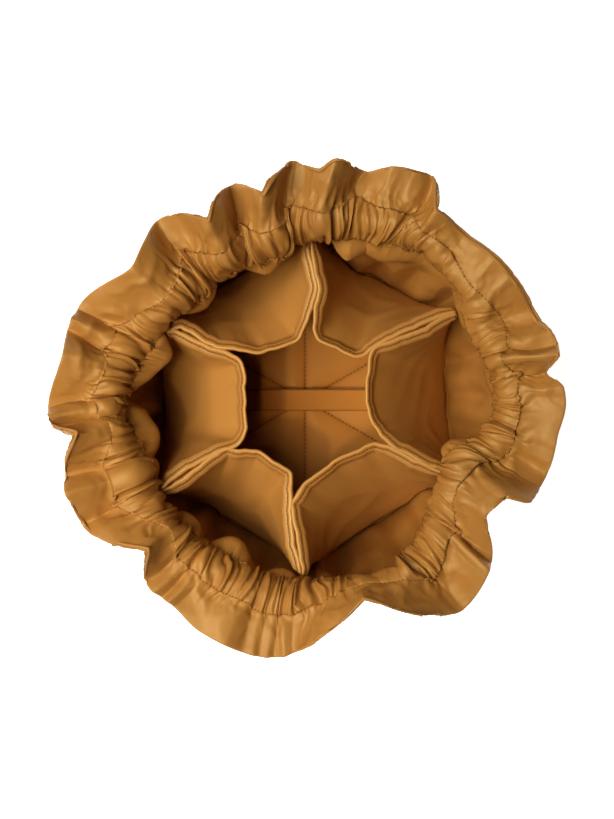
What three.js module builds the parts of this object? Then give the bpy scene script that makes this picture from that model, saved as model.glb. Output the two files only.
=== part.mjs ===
// A round drawstring pouch for jewelry, standing open on its base: a flat base with a strap across it,
// a soft side wall gathered into a casing, a frill that flares out above it, and six open pockets.
// Millimetres, +Z up. The origin is the middle of the base's underside.

import * as THREE from 'three';

// Driving dimensions
const CLOTH = 1.2;
const GAP = 0.4;

const BASE_RADIUS = 74;
const BASE_THICKNESS = 3;
const BASE_EDGE = 1.2;
const BASE_SEGMENTS = 64;

const STRAP_LENGTH = 130;
const STRAP_WIDTH = 11.5;
const STRAP_THICKNESS = 1.6;
const STRAP_BEVEL = 0.4;

const WALL_FOOT_RADIUS = 75.4;
const WALL_FOOT_HEIGHT = 0.8;
const WALL_BELLY = 7;
const WALL_FOLD_FADE = 1.6;
const LIP_HEIGHT = 82;
const NECK_SHIFT_Y = -3;

const CASING_CLOTH = 2.4;
const CASING_WIDTH = 16;
const CASING_LEAST_RISE = 6;
const CASING_MOST_RISE = 12;
const CASING_PUFF = 2.5;
const CASING_END_GAP = 1;

const FRILL_WIDTH = 27;
const FRILL_LEAST_RISE = 8;
const FRILL_FLARE = 1.25;
const FRILL_LIFT = 1.4;

const POCKET_HEIGHT = 74;
const POCKET_FOOT_RADIUS = 71.5;
const POCKET_FOOT_HEIGHT = 4.2;
const POCKET_SEAM_HALF_GAP = 1.4;
const POCKET_BELLY = 4;
const POCKET_BEND_TENSION = 0.25;
const POCKET_TIP_HEIGHT = 76;

const AROUND = 96;
const WALL_ROWS = 6;
const CASING_ROWS = 2;
const FRILL_ROWS = 3;
const POCKET_COLUMNS = 18;
const POCKET_ROWS = 4;
const SLOPE_STEP = 1e-4;

// The folds round the neck, in degrees and millimetres from the neck's centre: how far the hem reaches
// out, and the radius of the upper and the lower stitch row. A short reach is a ridge that stands up.
const FOLDS = [
  { angle: 0, hem: 123, upper: 104, lower: 93 },
  { angle: 8, hem: 115, upper: 103, lower: 91 },
  { angle: 14, hem: 122, upper: 100, lower: 90 },
  { angle: 24, hem: 117, upper: 104, lower: 89 },
  { angle: 38, hem: 114, upper: 100, lower: 91 },
  { angle: 53, hem: 111, upper: 100, lower: 92 },
  { angle: 63, hem: 123, upper: 105, lower: 91 },
  { angle: 76, hem: 114, upper: 103, lower: 87 },
  { angle: 81, hem: 116, upper: 98, lower: 85 },
  { angle: 88, hem: 112, upper: 97, lower: 83 },
  { angle: 93, hem: 115, upper: 95, lower: 81 },
  { angle: 100, hem: 104, upper: 89, lower: 76 },
  { angle: 108, hem: 109, upper: 93, lower: 76 },
  { angle: 117, hem: 101, upper: 88, lower: 77 },
  { angle: 127, hem: 110, upper: 91, lower: 77 },
  { angle: 141, hem: 102, upper: 90, lower: 78 },
  { angle: 157, hem: 115, upper: 97, lower: 81 },
  { angle: 169, hem: 114, upper: 101, lower: 88 },
  { angle: 183, hem: 121, upper: 102, lower: 91 },
  { angle: 189, hem: 110, upper: 97, lower: 88 },
  { angle: 201, hem: 121, upper: 101, lower: 85 },
  { angle: 211, hem: 118, upper: 100, lower: 86 },
  { angle: 223, hem: 105, upper: 96, lower: 87 },
  { angle: 231, hem: 115, upper: 95, lower: 85 },
  { angle: 237, hem: 114, upper: 96, lower: 84 },
  { angle: 250, hem: 119, upper: 99, lower: 88 },
  { angle: 262, hem: 120, upper: 102, lower: 89 },
  { angle: 275, hem: 108, upper: 100, lower: 88 },
  { angle: 288, hem: 97, upper: 98, lower: 90 },
  { angle: 298, hem: 110, upper: 100, lower: 91 },
  { angle: 308, hem: 122, upper: 101, lower: 89 },
  { angle: 319, hem: 116, upper: 96, lower: 83 },
  { angle: 329, hem: 101, upper: 88, lower: 77 },
  { angle: 341, hem: 118, upper: 94, lower: 80 },
  { angle: 352, hem: 120, upper: 100, lower: 90 },
];

// The pockets, counted round from the right: the seams at both ends of each, in degrees, and the three
// bends of its rim seen from above, each an angle and a distance from the base's centre.
const POCKETS = [
  { start: 31, angleA: 38, reachA: 49, angleB: 43, reachB: 35, angleC: 80, reachC: 34, end: 88 },
  { start: 88, angleA: 97, reachA: 31, angleB: 133, reachB: 33, angleC: 143, reachC: 40, end: 153 },
  { start: 153, angleA: 151, reachA: 37, angleB: 179, reachB: 31, angleC: 208, reachC: 34, end: 211 },
  { start: 211, angleA: 214, reachA: 46, angleB: 228, reachB: 36, angleC: 259, reachC: 38, end: 269 },
  { start: 269, angleA: 265, reachA: 53, angleB: 285, reachB: 38, angleC: 326, reachC: 41, end: 334 },
  { start: 334, angleA: 337, reachA: 42, angleB: 366, reachB: 31, angleC: 392, reachC: 39, end: 391 },
];

// A smooth curve through the fold table that closes on itself after a whole turn.
const foldRows = [...FOLDS, { ...FOLDS[0], angle: FOLDS[0].angle + 360 }];
const foldCurve = new THREE.CubicInterpolant(
  foldRows.map((row) => row.angle),
  foldRows.flatMap((row) => [row.hem, row.upper, row.lower]),
  3,
);
foldCurve.settings = {
  endingStart: THREE.WrapAroundEnding,
  endingEnd: THREE.WrapAroundEnding,
};

function foldAt(degrees) {
  const [hem, upper, lower] = foldCurve.evaluate(THREE.MathUtils.euclideanModulo(degrees, 360));
  return { hem, upper, lower };
}

function polar(degrees, radius, height, centreY = 0) {
  const angle = THREE.MathUtils.degToRad(degrees);
  return new THREE.Vector3(radius * Math.cos(angle), centreY + radius * Math.sin(angle), height);
}

// What is left to rise when a strip of this width has already reached this far out.
function riseOf(width, reach, least, most) {
  const rise = Math.sqrt(Math.max(width ** 2 - reach ** 2, 0));
  return THREE.MathUtils.clamp(rise, least, most);
}

function upperRowHeight({ upper, lower }) {
  return LIP_HEIGHT + riseOf(CASING_WIDTH, upper - lower, CASING_LEAST_RISE, CASING_MOST_RISE);
}

// The middle surfaces of the body's three rings: up is 0 at the lower end of each and 1 at the upper.
function wallPoint(degrees, up) {
  const { lower } = foldAt(degrees);
  const folded = THREE.MathUtils.lerp(WALL_FOOT_RADIUS, lower, up ** WALL_FOLD_FADE);
  const radius = folded + WALL_BELLY * Math.sin(Math.PI * up);
  const height = THREE.MathUtils.lerp(WALL_FOOT_HEIGHT, LIP_HEIGHT, up);
  return polar(degrees, radius, height, NECK_SHIFT_Y * up);
}

function casingPoint(degrees, up) {
  const fold = foldAt(degrees);
  const puff = CASING_PUFF * Math.sin(Math.PI * up);
  const radius = THREE.MathUtils.lerp(fold.lower, fold.upper, up) - puff / 2;
  const height = THREE.MathUtils.lerp(LIP_HEIGHT, upperRowHeight(fold), up) + puff;
  return polar(degrees, radius, height, NECK_SHIFT_Y);
}

function frillPoint(degrees, up) {
  const fold = foldAt(degrees);
  const reach = fold.hem - fold.upper;
  const rise = riseOf(FRILL_WIDTH, reach, FRILL_LEAST_RISE, FRILL_WIDTH);
  const radius = fold.upper + reach * up ** FRILL_FLARE;
  const height = upperRowHeight(fold) + rise * (1 - (1 - up) ** FRILL_LIFT);
  return polar(degrees, radius, height, NECK_SHIFT_Y);
}

// A closed cloth wall round a middle surface, point(across, up) with both from 0 to 1, its outer face on
// the side of across times up. A ring closes on itself, and a panel gets an edge at each end.
function clothWall({ point, columns, rows, thickness, ring }) {
  const columnCount = ring ? columns : columns + 1;
  const rowCount = rows + 1;
  const positions = [];
  for (const side of [1, -1]) {
    for (let column = 0; column < columnCount; column++) {
      for (let row = 0; row < rowCount; row++) {
        const across = column / columns;
        const up = row / rows;
        const alongAcross = point(across + SLOPE_STEP, up).sub(point(across - SLOPE_STEP, up));
        const higher = point(across, Math.min(up + SLOPE_STEP, 1));
        const alongUp = higher.sub(point(across, Math.max(up - SLOPE_STEP, 0)));
        const normal = alongAcross.cross(alongUp).normalize();
        positions.push(...point(across, up).addScaledVector(normal, (side * thickness) / 2));
      }
    }
  }

  const faceSize = columnCount * rowCount;
  const outer = (column, row) => (column % columnCount) * rowCount + row;
  const inner = (column, row) => faceSize + outer(column, row);
  const indices = [];
  const quad = (a, b, c, d) => indices.push(a, b, c, a, c, d);
  for (let column = 0; column < columns; column++) {
    for (let row = 0; row < rows; row++) {
      quad(outer(column, row), outer(column + 1, row), outer(column + 1, row + 1), outer(column, row + 1));
      quad(inner(column, row), inner(column, row + 1), inner(column + 1, row + 1), inner(column + 1, row));
    }
    quad(outer(column, rows), outer(column + 1, rows), inner(column + 1, rows), inner(column, rows));
    quad(outer(column + 1, 0), outer(column, 0), inner(column, 0), inner(column + 1, 0));
  }
  if (!ring) {
    for (let row = 0; row < rows; row++) {
      quad(outer(0, row), outer(0, row + 1), inner(0, row + 1), inner(0, row));
      quad(outer(columns, row + 1), outer(columns, row), inner(columns, row), inner(columns, row + 1));
    }
  }

  const geometry = new THREE.BufferGeometry();
  geometry.setAttribute('position', new THREE.Float32BufferAttribute(positions, 3));
  geometry.setIndex(indices);
  geometry.computeVertexNormals();
  return geometry;
}

// One ring of the body, between two shares of its height.
function bodyRing({ surface, from, to, rows, thickness }) {
  return clothWall({
    point: (across, up) => surface(across * 360, THREE.MathUtils.lerp(from, to, up)),
    columns: AROUND,
    rows,
    thickness,
    ring: true,
  });
}

function baseDisc() {
  const profile = [
    new THREE.Vector2(0, 0),
    new THREE.Vector2(BASE_RADIUS - BASE_EDGE, 0),
    new THREE.Vector2(BASE_RADIUS, BASE_EDGE),
    new THREE.Vector2(BASE_RADIUS, BASE_THICKNESS - BASE_EDGE),
    new THREE.Vector2(BASE_RADIUS - BASE_EDGE, BASE_THICKNESS),
    new THREE.Vector2(0, BASE_THICKNESS),
  ];
  return new THREE.LatheGeometry(profile, BASE_SEGMENTS).rotateX(Math.PI / 2);
}

function baseStrap() {
  const halfLength = STRAP_LENGTH / 2 - STRAP_BEVEL;
  const halfWidth = STRAP_WIDTH / 2 - STRAP_BEVEL;
  const outline = new THREE.Shape([
    new THREE.Vector2(-halfLength, -halfWidth),
    new THREE.Vector2(halfLength, -halfWidth),
    new THREE.Vector2(halfLength, halfWidth),
    new THREE.Vector2(-halfLength, halfWidth),
  ]);
  return new THREE.ExtrudeGeometry(outline, {
    depth: STRAP_THICKNESS - 2 * STRAP_BEVEL,
    bevelThickness: STRAP_BEVEL,
    bevelSize: STRAP_BEVEL,
    bevelSegments: 1,
  });
}

// Where a pocket's rim is sewn to the wall, beside its seam on the side that the pocket lies.
function pocketTip(seam, side) {
  const up = (POCKET_TIP_HEIGHT - WALL_FOOT_HEIGHT) / (LIP_HEIGHT - WALL_FOOT_HEIGHT);
  const wall = wallPoint(seam, up);
  const radius = Math.hypot(wall.x, wall.y) - 2 * CLOTH - GAP;
  return polar(seam + side * POCKET_SEAM_HALF_GAP, radius, 0);
}

// A pocket's panel hangs from its rim to its foot on the base. Its cloth has the same height all along,
// so the rim sinks where it leans further in over the base.
function pocketPanel(pocket) {
  const rim = new THREE.CatmullRomCurve3(
    [
      pocketTip(pocket.start, 1),
      polar(pocket.angleA, pocket.reachA, 0),
      polar(pocket.angleB, pocket.reachB, 0),
      polar(pocket.angleC, pocket.reachC, 0),
      pocketTip(pocket.end, -1),
    ],
    false,
    'catmullrom',
    POCKET_BEND_TENSION,
  );
  const footStart = pocket.start + POCKET_SEAM_HALF_GAP;
  const footEnd = pocket.end - POCKET_SEAM_HALF_GAP;

  function point(across, up) {
    const along = THREE.MathUtils.clamp(across, 0, 1);
    const foot = polar(
      THREE.MathUtils.lerp(footStart, footEnd, along),
      POCKET_FOOT_RADIUS,
      POCKET_FOOT_HEIGHT,
    );
    const top = rim.getPointAt(along);
    const lean = Math.hypot(top.x - foot.x, top.y - foot.y);
    top.z = POCKET_FOOT_HEIGHT + Math.sqrt(POCKET_HEIGHT ** 2 - lean ** 2);
    const inward = foot.clone().setZ(0).negate().normalize();
    const belly = POCKET_BELLY * Math.sin(Math.PI * up) * Math.sin(Math.PI * along);
    return foot.lerp(top, up).addScaledVector(inward, belly);
  }

  return clothWall({ point, columns: POCKET_COLUMNS, rows: POCKET_ROWS, thickness: CLOTH, ring: false });
}

// The assembly
const pouch = new THREE.Group();
const SATIN = '#b8813c';
const SATIN_SHADE = '#a06a2c';

function addPiece(name, geometry, color, height = 0) {
  const material = new THREE.MeshStandardMaterial({ color, roughness: 0.5, metalness: 0 });
  const mesh = new THREE.Mesh(geometry, material);
  mesh.name = name;
  mesh.position.z = height;
  pouch.add(mesh);
}

addPiece('base_disc', baseDisc(), SATIN_SHADE);
addPiece('base_strap', baseStrap(), SATIN_SHADE, BASE_THICKNESS + GAP + STRAP_BEVEL);
addPiece(
  'side_wall',
  bodyRing({ surface: wallPoint, from: 0, to: 1, rows: WALL_ROWS, thickness: CLOTH }),
  SATIN,
);
addPiece(
  'casing',
  bodyRing({
    surface: casingPoint,
    from: CASING_END_GAP / CASING_WIDTH,
    to: 1 - CASING_END_GAP / CASING_WIDTH,
    rows: CASING_ROWS,
    thickness: CASING_CLOTH,
  }),
  SATIN,
);
addPiece(
  'frill',
  bodyRing({ surface: frillPoint, from: GAP / FRILL_WIDTH, to: 1, rows: FRILL_ROWS, thickness: CLOTH }),
  SATIN,
);
POCKETS.forEach((pocket, index) => {
  addPiece(`pocket_${index + 1}`, pocketPanel(pocket), SATIN);
});

export default pouch;
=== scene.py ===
import functools
import math
import random

import bpy
import numpy as np
from bpy.props import FloatProperty, FloatVectorProperty, IntProperty, PointerProperty
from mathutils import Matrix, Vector, noise


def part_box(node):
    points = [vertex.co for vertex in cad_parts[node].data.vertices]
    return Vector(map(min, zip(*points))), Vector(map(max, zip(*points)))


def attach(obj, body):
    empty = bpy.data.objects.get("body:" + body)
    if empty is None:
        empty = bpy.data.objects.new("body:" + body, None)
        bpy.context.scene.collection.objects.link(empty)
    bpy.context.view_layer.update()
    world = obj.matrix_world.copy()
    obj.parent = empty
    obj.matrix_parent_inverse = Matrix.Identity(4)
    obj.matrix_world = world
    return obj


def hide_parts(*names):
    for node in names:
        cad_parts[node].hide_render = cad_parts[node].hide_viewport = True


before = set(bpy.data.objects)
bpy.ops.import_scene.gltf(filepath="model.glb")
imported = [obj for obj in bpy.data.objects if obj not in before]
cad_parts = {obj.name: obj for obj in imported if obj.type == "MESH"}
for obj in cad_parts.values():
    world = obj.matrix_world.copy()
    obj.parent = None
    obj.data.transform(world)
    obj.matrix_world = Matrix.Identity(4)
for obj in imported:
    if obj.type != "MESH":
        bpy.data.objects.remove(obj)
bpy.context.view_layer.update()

bl_info = {
    "name": "Jewelry pouch",
    "version": (1, 0, 0),
    "blender": (4, 5, 0),
    "location": "View3D > Sidebar > Pouch",
    "description": "Builds a round satin drawstring pouch that stands open, with six hemmed pockets",
    "category": "Object",
}

MM = 0.001
TURN = 360.0

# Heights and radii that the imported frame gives, in millimetres
BASE_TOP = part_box("base_disc")[1][2] / MM
BASE_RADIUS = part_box("base_disc")[1][0] / MM
STRAP_LOW, STRAP_HIGH = (np.array(corner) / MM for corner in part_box("base_strap"))
LIP_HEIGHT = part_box("casing")[0][2] / MM

# The wall: its foot, how far its neck leans over, how far its belly stands out, and how late it widens
FOOT_RADIUS = 75.4
FOOT_HEIGHT = 0.8
NECK_SHIFT_Y = -3.0
WALL_BELLY = 7.0
WALL_WIDENING = 1.6

# How far the wall draws back under the lip, and over which drop
WALL_TUCK = 4.0
WALL_TUCK_DROP = 3.5

# The wall's upright folds: their depth, how many go round, and how late they die out at foot and lip
SOFT_FOLD = 1.2
SOFT_FOLD_COUNTS = (7, 11, 16, 23, 31)
SOFT_FOLD_SWELL = 0.8

# The wall's lobes: the share of its height over which they grow from the foot, the taper from which a lobe
# is a sharp fold, and how fast a sharp fold dies out downwards
LOBE_FOOT = 0.5
SHARP_TAPER = 2.0
SHARP_FADE = 1.6

# The casing: its cut width, the least and the most that it rises, its puff and its mean radius
CASING_WIDTH = 16.0
CASING_RISE = (6.0, 12.0)
CASING_PUFF = 3.0
MOUTH_RADIUS = 92.0

# The puckers: the share of its depth that a faint one keeps, the depth from which the painted shade in a
# crease is at its darkest, that painted shade, how far they draw the stitch rows into scallops, and over
# which distance
FAINT_SHARE = 0.15
DEEP_PUCKER = 2.5
PAINTED_CREASE_SHADE = 0.6
SCALLOP = 0.3
SCALLOP_FADE = 4.0

# The kinds of puckers. Seed is a step from the set seed, split is how many take the place of one in the
# table, share is how deep they are beside it, reach is how far they run up the frill, faint is the share of
# faint ones, and lower and upper are the strength of a crease at the two stitch rows, where under 0 is none.
PUCKER_KINDS = (
    # seed, split, share, reach, faint, lower, upper
    (0, 1, 1.0, (2.5, 12.0), 0.1, (0.5, 1.0), (0.3, 1.0)),
    (5, 2, 0.65, (1.5, 6.0), 0.4, (0.5, 1.0), (0.3, 1.0)),
    (9, 3, 0.4, (1.0, 3.0), 0.2, (0.6, 1.0), (-0.9, -0.3)),
    (13, 3, 0.4, (1.0, 3.0), 0.2, (-0.9, -0.3), (0.6, 1.0)),
)

# The frill: its cut width, its rise where it is level, the rise in the table that is neither a crest nor a
# trough, and how much deeper the folds are than in the table
FRILL_WIDTH = 27.0
FRILL_RISE = 6.5
LEVEL_RISE = 14.0
FOLD_DEPTH = 1.35

# How far the stitch row comes in and up for each step of a fold's rise, how far the folds bend aside in
# degrees, and how many such bends go round
FOLD_STEP = 8.0
FOLD_IN = 2.2
FOLD_UP = 3.0
FOLD_BEND = 0.45
FOLD_BEND_COUNTS = (9, 14, 21, 33)

# The frill's way from the stitch row to the hem: how late it flares, rounds off its creases and curls in,
# and how early it rises
FLARE = 1.1
CREASE_FADE = 1.5
CURL_BEND = 1.5
LIFT = 1.35

# The hem: how far it stands out past the reach in the table, how sharply its fold lines turn, the share of
# a fold's rise that it keeps, the curl that takes the most cloth, and how much of the frill that is
HEM_OUT = 2.0
HEM_TURN = 0.3
HEM_SHARE = 0.85
FULL_CURL = 2.5
CURL_SHARE = 0.2

# The mouth, in degrees and millimetres from the neck's centre: the radius of the upper stitch row and
# of the lower one, which is the lip.
MOUTH = (
    # angle, upper, lower
    (0, 104, 96),
    (8, 103, 95),
    (14, 101, 93),
    (24, 103, 89),
    (38, 100, 95),
    (53, 103, 96),
    (63, 104, 91),
    (76, 101, 87),
    (85, 97, 84),
    (93, 95, 81),
    (100, 89, 77),
    (108, 92, 76),
    (117, 88, 77),
    (127, 91, 77),
    (141, 89, 78),
    (157, 96, 81),
    (169, 100, 88),
    (183, 101, 91),
    (189, 97, 88),
    (201, 101, 85),
    (211, 100, 86),
    (223, 95, 87),
    (231, 95, 85),
    (250, 98, 87),
    (262, 101, 88),
    (275, 98, 88),
    (288, 97, 90),
    (298, 100, 91),
    (308, 101, 89),
    (319, 96, 83),
    (329, 88, 77),
    (341, 94, 79),
    (352, 101, 92),
)

# The frill's fold lines. Each runs from the casing to the hem: its angle at both ends, how far the hem
# reaches out there and how far it rises over the stitch row. A low rise is a trough and a high one a
# crest. Crease and notch are 0 for a round fold or outline and 1 for a sharp one, and curl is how far
# the hem turns back in.
FRILL_FOLDS = (
    # casing, hem, reach, rise, crease, notch, curl
    (0.0, 0.0, 123.0, 13.0, 0.2, 0.0, 0.0),
    (4.5, 4.0, 122.0, 14.5, 0.2, 0.0, 0.0),
    (8.8, 7.8, 116.2, 9.0, 0.6, 0.3, 0.5),
    (13.2, 11.4, 121.6, 21.0, 1.0, 0.0, 1.0),
    (14.6, 13.6, 123.2, 12.0, 0.5, 0.0, 1.0),
    (17.0, 16.6, 122.2, 12.5, 0.2, 0.0, 1.5),
    (20.5, 19.8, 119.6, 8.5, 0.4, 0.0, 2.5),
    (28.0, 27.0, 117.3, 13.0, 0.2, 0.0, 2.5),
    (36.0, 38.0, 114.8, 16.0, 0.3, 0.0, 2.5),
    (46.0, 47.0, 111.8, 11.0, 0.3, 0.0, 2.5),
    (56.0, 56.0, 111.5, 18.0, 0.6, 0.5, 2.0),
    (60.0, 61.0, 125.0, 8.0, 0.8, 0.1, 1.0),
    (63.5, 64.5, 123.5, 14.0, 0.2, 0.0, 0.5),
    (69.5, 69.5, 121.0, 16.0, 0.4, 0.0, 0.3),
    (76.0, 75.6, 115.2, 7.0, 0.3, 0.1, 0.0),
    (84.8, 82.3, 116.5, 23.0, 1.0, 0.0, 1.0),
    (88.5, 86.2, 111.8, 17.0, 0.4, 0.5, 1.5),
    (97.0, 93.0, 116.4, 7.0, 0.6, 0.0, 0.0),
    (100.2, 97.0, 109.5, 19.0, 0.3, 0.0, 1.0),
    (103.0, 100.8, 102.0, 23.0, 0.6, 0.8, 2.2),
    (110.5, 108.5, 111.4, 7.0, 0.6, 0.0, 0.3),
    (113.5, 112.6, 107.5, 18.5, 0.3, 0.0, 0.5),
    (117.5, 117.3, 98.5, 22.0, 0.5, 0.8, 2.2),
    (125.5, 124.5, 110.5, 11.0, 0.2, 0.0, 0.3),
    (130.0, 128.8, 112.6, 6.0, 0.6, 0.0, 0.0),
    (135.5, 134.5, 107.5, 17.0, 0.2, 0.0, 0.0),
    (143.0, 141.5, 103.0, 21.0, 0.3, 0.2, 0.0),
    (158.5, 157.0, 118.0, 6.0, 0.9, 0.0, 0.0),
    (161.5, 159.5, 118.0, 14.0, 0.2, 0.0, 0.0),
    (165.5, 162.3, 118.5, 7.0, 0.8, 0.0, 0.0),
    (170.0, 168.0, 116.0, 18.0, 0.2, 0.0, 0.0),
    (179.5, 180.6, 122.0, 6.0, 0.8, 0.0, 0.0),
    (181.5, 182.6, 121.5, 15.0, 0.3, 0.0, 0.5),
    (183.5, 184.3, 121.0, 8.0, 0.8, 0.1, 1.0),
    (186.0, 186.8, 109.0, 23.0, 0.9, 0.7, 2.5),
    (196.0, 195.5, 119.0, 9.0, 0.3, 0.0, 0.5),
    (201.5, 200.2, 120.5, 18.0, 0.9, 0.0, 0.0),
    (208.5, 208.3, 121.0, 8.0, 0.4, 0.0, 1.5),
    (222.0, 222.5, 100.5, 25.0, 0.6, 0.7, 2.5),
    (229.0, 227.8, 112.5, 10.0, 0.4, 0.0, 0.3),
    (232.0, 231.0, 113.5, 12.0, 0.2, 0.0, 0.0),
    (234.5, 233.4, 113.2, 9.5, 0.6, 0.0, 0.0),
    (236.2, 235.2, 113.2, 11.5, 0.3, 0.0, 0.0),
    (238.0, 237.2, 113.6, 9.5, 0.5, 0.0, 0.0),
    (245.0, 245.0, 118.0, 10.0, 0.2, 0.0, 0.0),
    (252.0, 251.6, 119.3, 13.0, 0.1, 0.0, 0.0),
    (255.0, 255.6, 120.6, 10.0, 0.2, 0.0, 0.0),
    (257.2, 258.2, 121.0, 11.0, 0.2, 0.0, 0.0),
    (258.6, 259.6, 121.0, 10.2, 0.3, 0.0, 0.0),
    (261.0, 261.4, 120.9, 11.5, 0.2, 0.0, 0.0),
    (262.4, 263.0, 120.3, 10.4, 0.3, 0.0, 0.0),
    (265.4, 265.4, 119.2, 12.2, 0.2, 0.0, 0.0),
    (267.6, 267.4, 117.0, 11.2, 0.2, 0.0, 0.0),
    (274.0, 270.0, 113.5, 18.0, 0.3, 0.0, 0.0),
    (280.0, 278.0, 104.5, 24.0, 0.3, 0.0, 0.5),
    (287.0, 287.0, 94.2, 26.5, 0.4, 0.5, 1.0),
    (298.0, 297.0, 109.5, 22.0, 0.3, 0.0, 0.5),
    (305.0, 307.5, 123.0, 6.0, 0.6, 0.1, 0.0),
    (318.0, 318.2, 116.5, 18.0, 0.7, 0.0, 0.0),
    (319.8, 319.8, 115.5, 11.0, 0.5, 0.0, 0.0),
    (329.0, 329.0, 99.5, 22.0, 0.4, 0.3, 0.5),
    (337.0, 335.2, 103.5, 24.0, 0.7, 0.3, 1.5),
    (339.5, 336.5, 115.5, 22.0, 1.0, 0.3, 1.0),
    (347.5, 344.5, 119.8, 6.5, 0.7, 0.0, 0.0),
    (350.5, 347.0, 120.0, 9.0, 0.2, 0.0, 0.0),
    (354.0, 352.0, 120.0, 12.0, 0.2, 0.0, 0.0),
)

# The casing's gathers from one angle to the next: how many puckers share the stretch, and their depth.
CASING_GATHERS = (
    # from, puckers, depth
    (0.0, 4, 2.2),
    (8.5, 2, 2.8),
    (13.4, 3, 1.8),
    (19.0, 3, 1.2),
    (28.0, 2, 1.0),
    (42.0, 1, 1.6),
    (53.0, 2, 1.6),
    (57.0, 5, 3.0),
    (63.5, 4, 2.6),
    (72.0, 2, 3.0),
    (75.5, 2, 2.8),
    (82.0, 2, 3.0),
    (85.5, 1, 2.2),
    (88.5, 4, 3.2),
    (95.5, 2, 3.4),
    (99.5, 2, 2.6),
    (104.5, 1, 3.2),
    (108.5, 3, 3.2),
    (112.5, 2, 2.6),
    (118.0, 1, 2.6),
    (121.5, 2, 2.8),
    (126.0, 1, 4.2),
    (132.5, 2, 3.8),
    (138.0, 1, 3.0),
    (143.0, 2, 2.4),
    (153.0, 2, 2.6),
    (158.0, 2, 3.4),
    (164.0, 4, 3.4),
    (173.0, 1, 3.2),
    (177.0, 3, 2.6),
    (184.0, 2, 2.8),
    (186.5, 2, 2.2),
    (192.0, 2, 3.0),
    (197.0, 1, 4.4),
    (205.3, 1, 3.6),
    (212.0, 2, 2.6),
    (219.5, 2, 3.0),
    (222.5, 1, 3.4),
    (229.0, 3, 3.0),
    (232.5, 2, 2.6),
    (238.0, 1, 2.8),
    (243.5, 3, 2.8),
    (251.0, 2, 3.0),
    (256.0, 1, 3.2),
    (260.5, 4, 3.4),
    (268.0, 3, 2.4),
    (276.0, 3, 2.2),
    (284.0, 1, 0.8),
    (300.0, 3, 2.8),
    (309.0, 3, 2.6),
    (322.0, 2, 2.2),
    (327.0, 1, 2.4),
    (334.0, 2, 3.6),
    (341.5, 2, 2.8),
    (346.0, 4, 3.2),
    (354.0, 2, 2.2),
)

# The lobes of the wall that bulge in under the casing: their two ends, how far they come in past the lip,
# how far under the lip they do, and their taper: under 1 for a dome, over 1 for a fold, 2 for a sharp one.
WALL_LOBES = (
    # from, to, inward, drop, taper
    (0, 16, 2, 7, 1.0),
    (22, 40, 2, 7, 1.0),
    (36, 86, 6, 30, 0.8),
    (46, 77, 9, 13, 1.6),
    (64, 84, 14, 9, 2.0),
    (94, 116, 7, 6, 0.7),
    (115, 123, 4, 6, 0.8),
    (125, 145, 7, 6, 0.7),
    (153, 176, 13, 5, 0.7),
    (179, 201, 14, 9, 0.7),
    (196, 207, 7, 6, 0.8),
    (217, 233, 7, 7, 1.4),
    (233, 254, 10, 7, 1.2),
    (254, 271, 6, 8, 1.2),
    (278, 292, 2, 7, 1.0),
    (306, 322, 2, 7, 1.0),
    (337, 350, 8, 6, 0.8),
)

# The seams where the pockets' ends are sewn to the wall, in degrees counted round from the right.
POCKET_SEAMS = (31, 88, 153, 211, 269, 334)

# The bends of each pocket's topstitched rim seen from above, in millimetres from the base's centre.
POCKET_RIMS = (
    # pocket, x, y
    (1, 68.0, 43.3),
    (1, 52.5, 37.1),
    (1, 36.1, 29.3),
    (1, 29.0, 23.5),
    (1, 25.0, 22.3),
    (1, 14.2, 27.1),
    (1, 7.4, 30.5),
    (1, 6.0, 35.8),
    (1, 7.2, 45.6),
    (1, 9.0, 54.0),
    (1, 6.3, 67.2),
    (2, 0.0, 73.7),
    (2, 2.1, 64.9),
    (2, 4.0, 53.5),
    (2, 1.7, 46.4),
    (2, -1.3, 37.3),
    (2, -3.2, 31.7),
    (2, -6.0, 29.4),
    (2, -14.3, 26.3),
    (2, -23.1, 24.3),
    (2, -33.0, 26.2),
    (2, -42.8, 27.8),
    (2, -49.2, 30.4),
    (2, -55.3, 35.2),
    (2, -61.5, 37.4),
    (3, -63.8, 32.2),
    (3, -56.8, 28.2),
    (3, -48.9, 24.5),
    (3, -38.1, 20.9),
    (3, -32.6, 17.6),
    (3, -30.8, 12.0),
    (3, -31.4, 6.0),
    (3, -30.5, -1.0),
    (3, -31.0, -8.3),
    (3, -30.2, -14.7),
    (3, -33.7, -21.1),
    (3, -41.0, -23.3),
    (3, -49.7, -27.6),
    (3, -58.4, -32.0),
    (3, -67.1, -38.2),
    (4, -64.2, -43.9),
    (4, -58.0, -40.7),
    (4, -50.4, -34.1),
    (4, -42.8, -28.7),
    (4, -38.2, -25.7),
    (4, -33.0, -27.1),
    (4, -24.1, -26.9),
    (4, -20.7, -28.5),
    (4, -14.7, -33.3),
    (4, -8.2, -36.9),
    (4, -8.8, -44.8),
    (4, -8.5, -60.1),
    (4, -7.3, -71.1),
    (4, -4.3, -82.0),
    (5, 0.4, -83.4),
    (5, -0.8, -73.1),
    (5, -2.9, -61.7),
    (5, -4.6, -52.0),
    (5, -0.9, -46.6),
    (5, 2.8, -41.4),
    (5, 13.3, -33.8),
    (5, 18.0, -30.0),
    (5, 27.2, -26.7),
    (5, 34.5, -23.3),
    (5, 41.8, -25.6),
    (5, 52.9, -31.3),
    (5, 62.0, -35.2),
    (6, 67.1, -32.7),
    (6, 60.2, -30.1),
    (6, 52.9, -25.9),
    (6, 46.0, -22.6),
    (6, 39.5, -17.3),
    (6, 34.8, -10.5),
    (6, 31.9, -2.3),
    (6, 31.9, 6.6),
    (6, 33.6, 20.0),
    (6, 35.2, 24.0),
    (6, 41.2, 26.3),
    (6, 51.1, 29.7),
    (6, 60.5, 33.4),
    (6, 69.4, 39.0),
)


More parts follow.
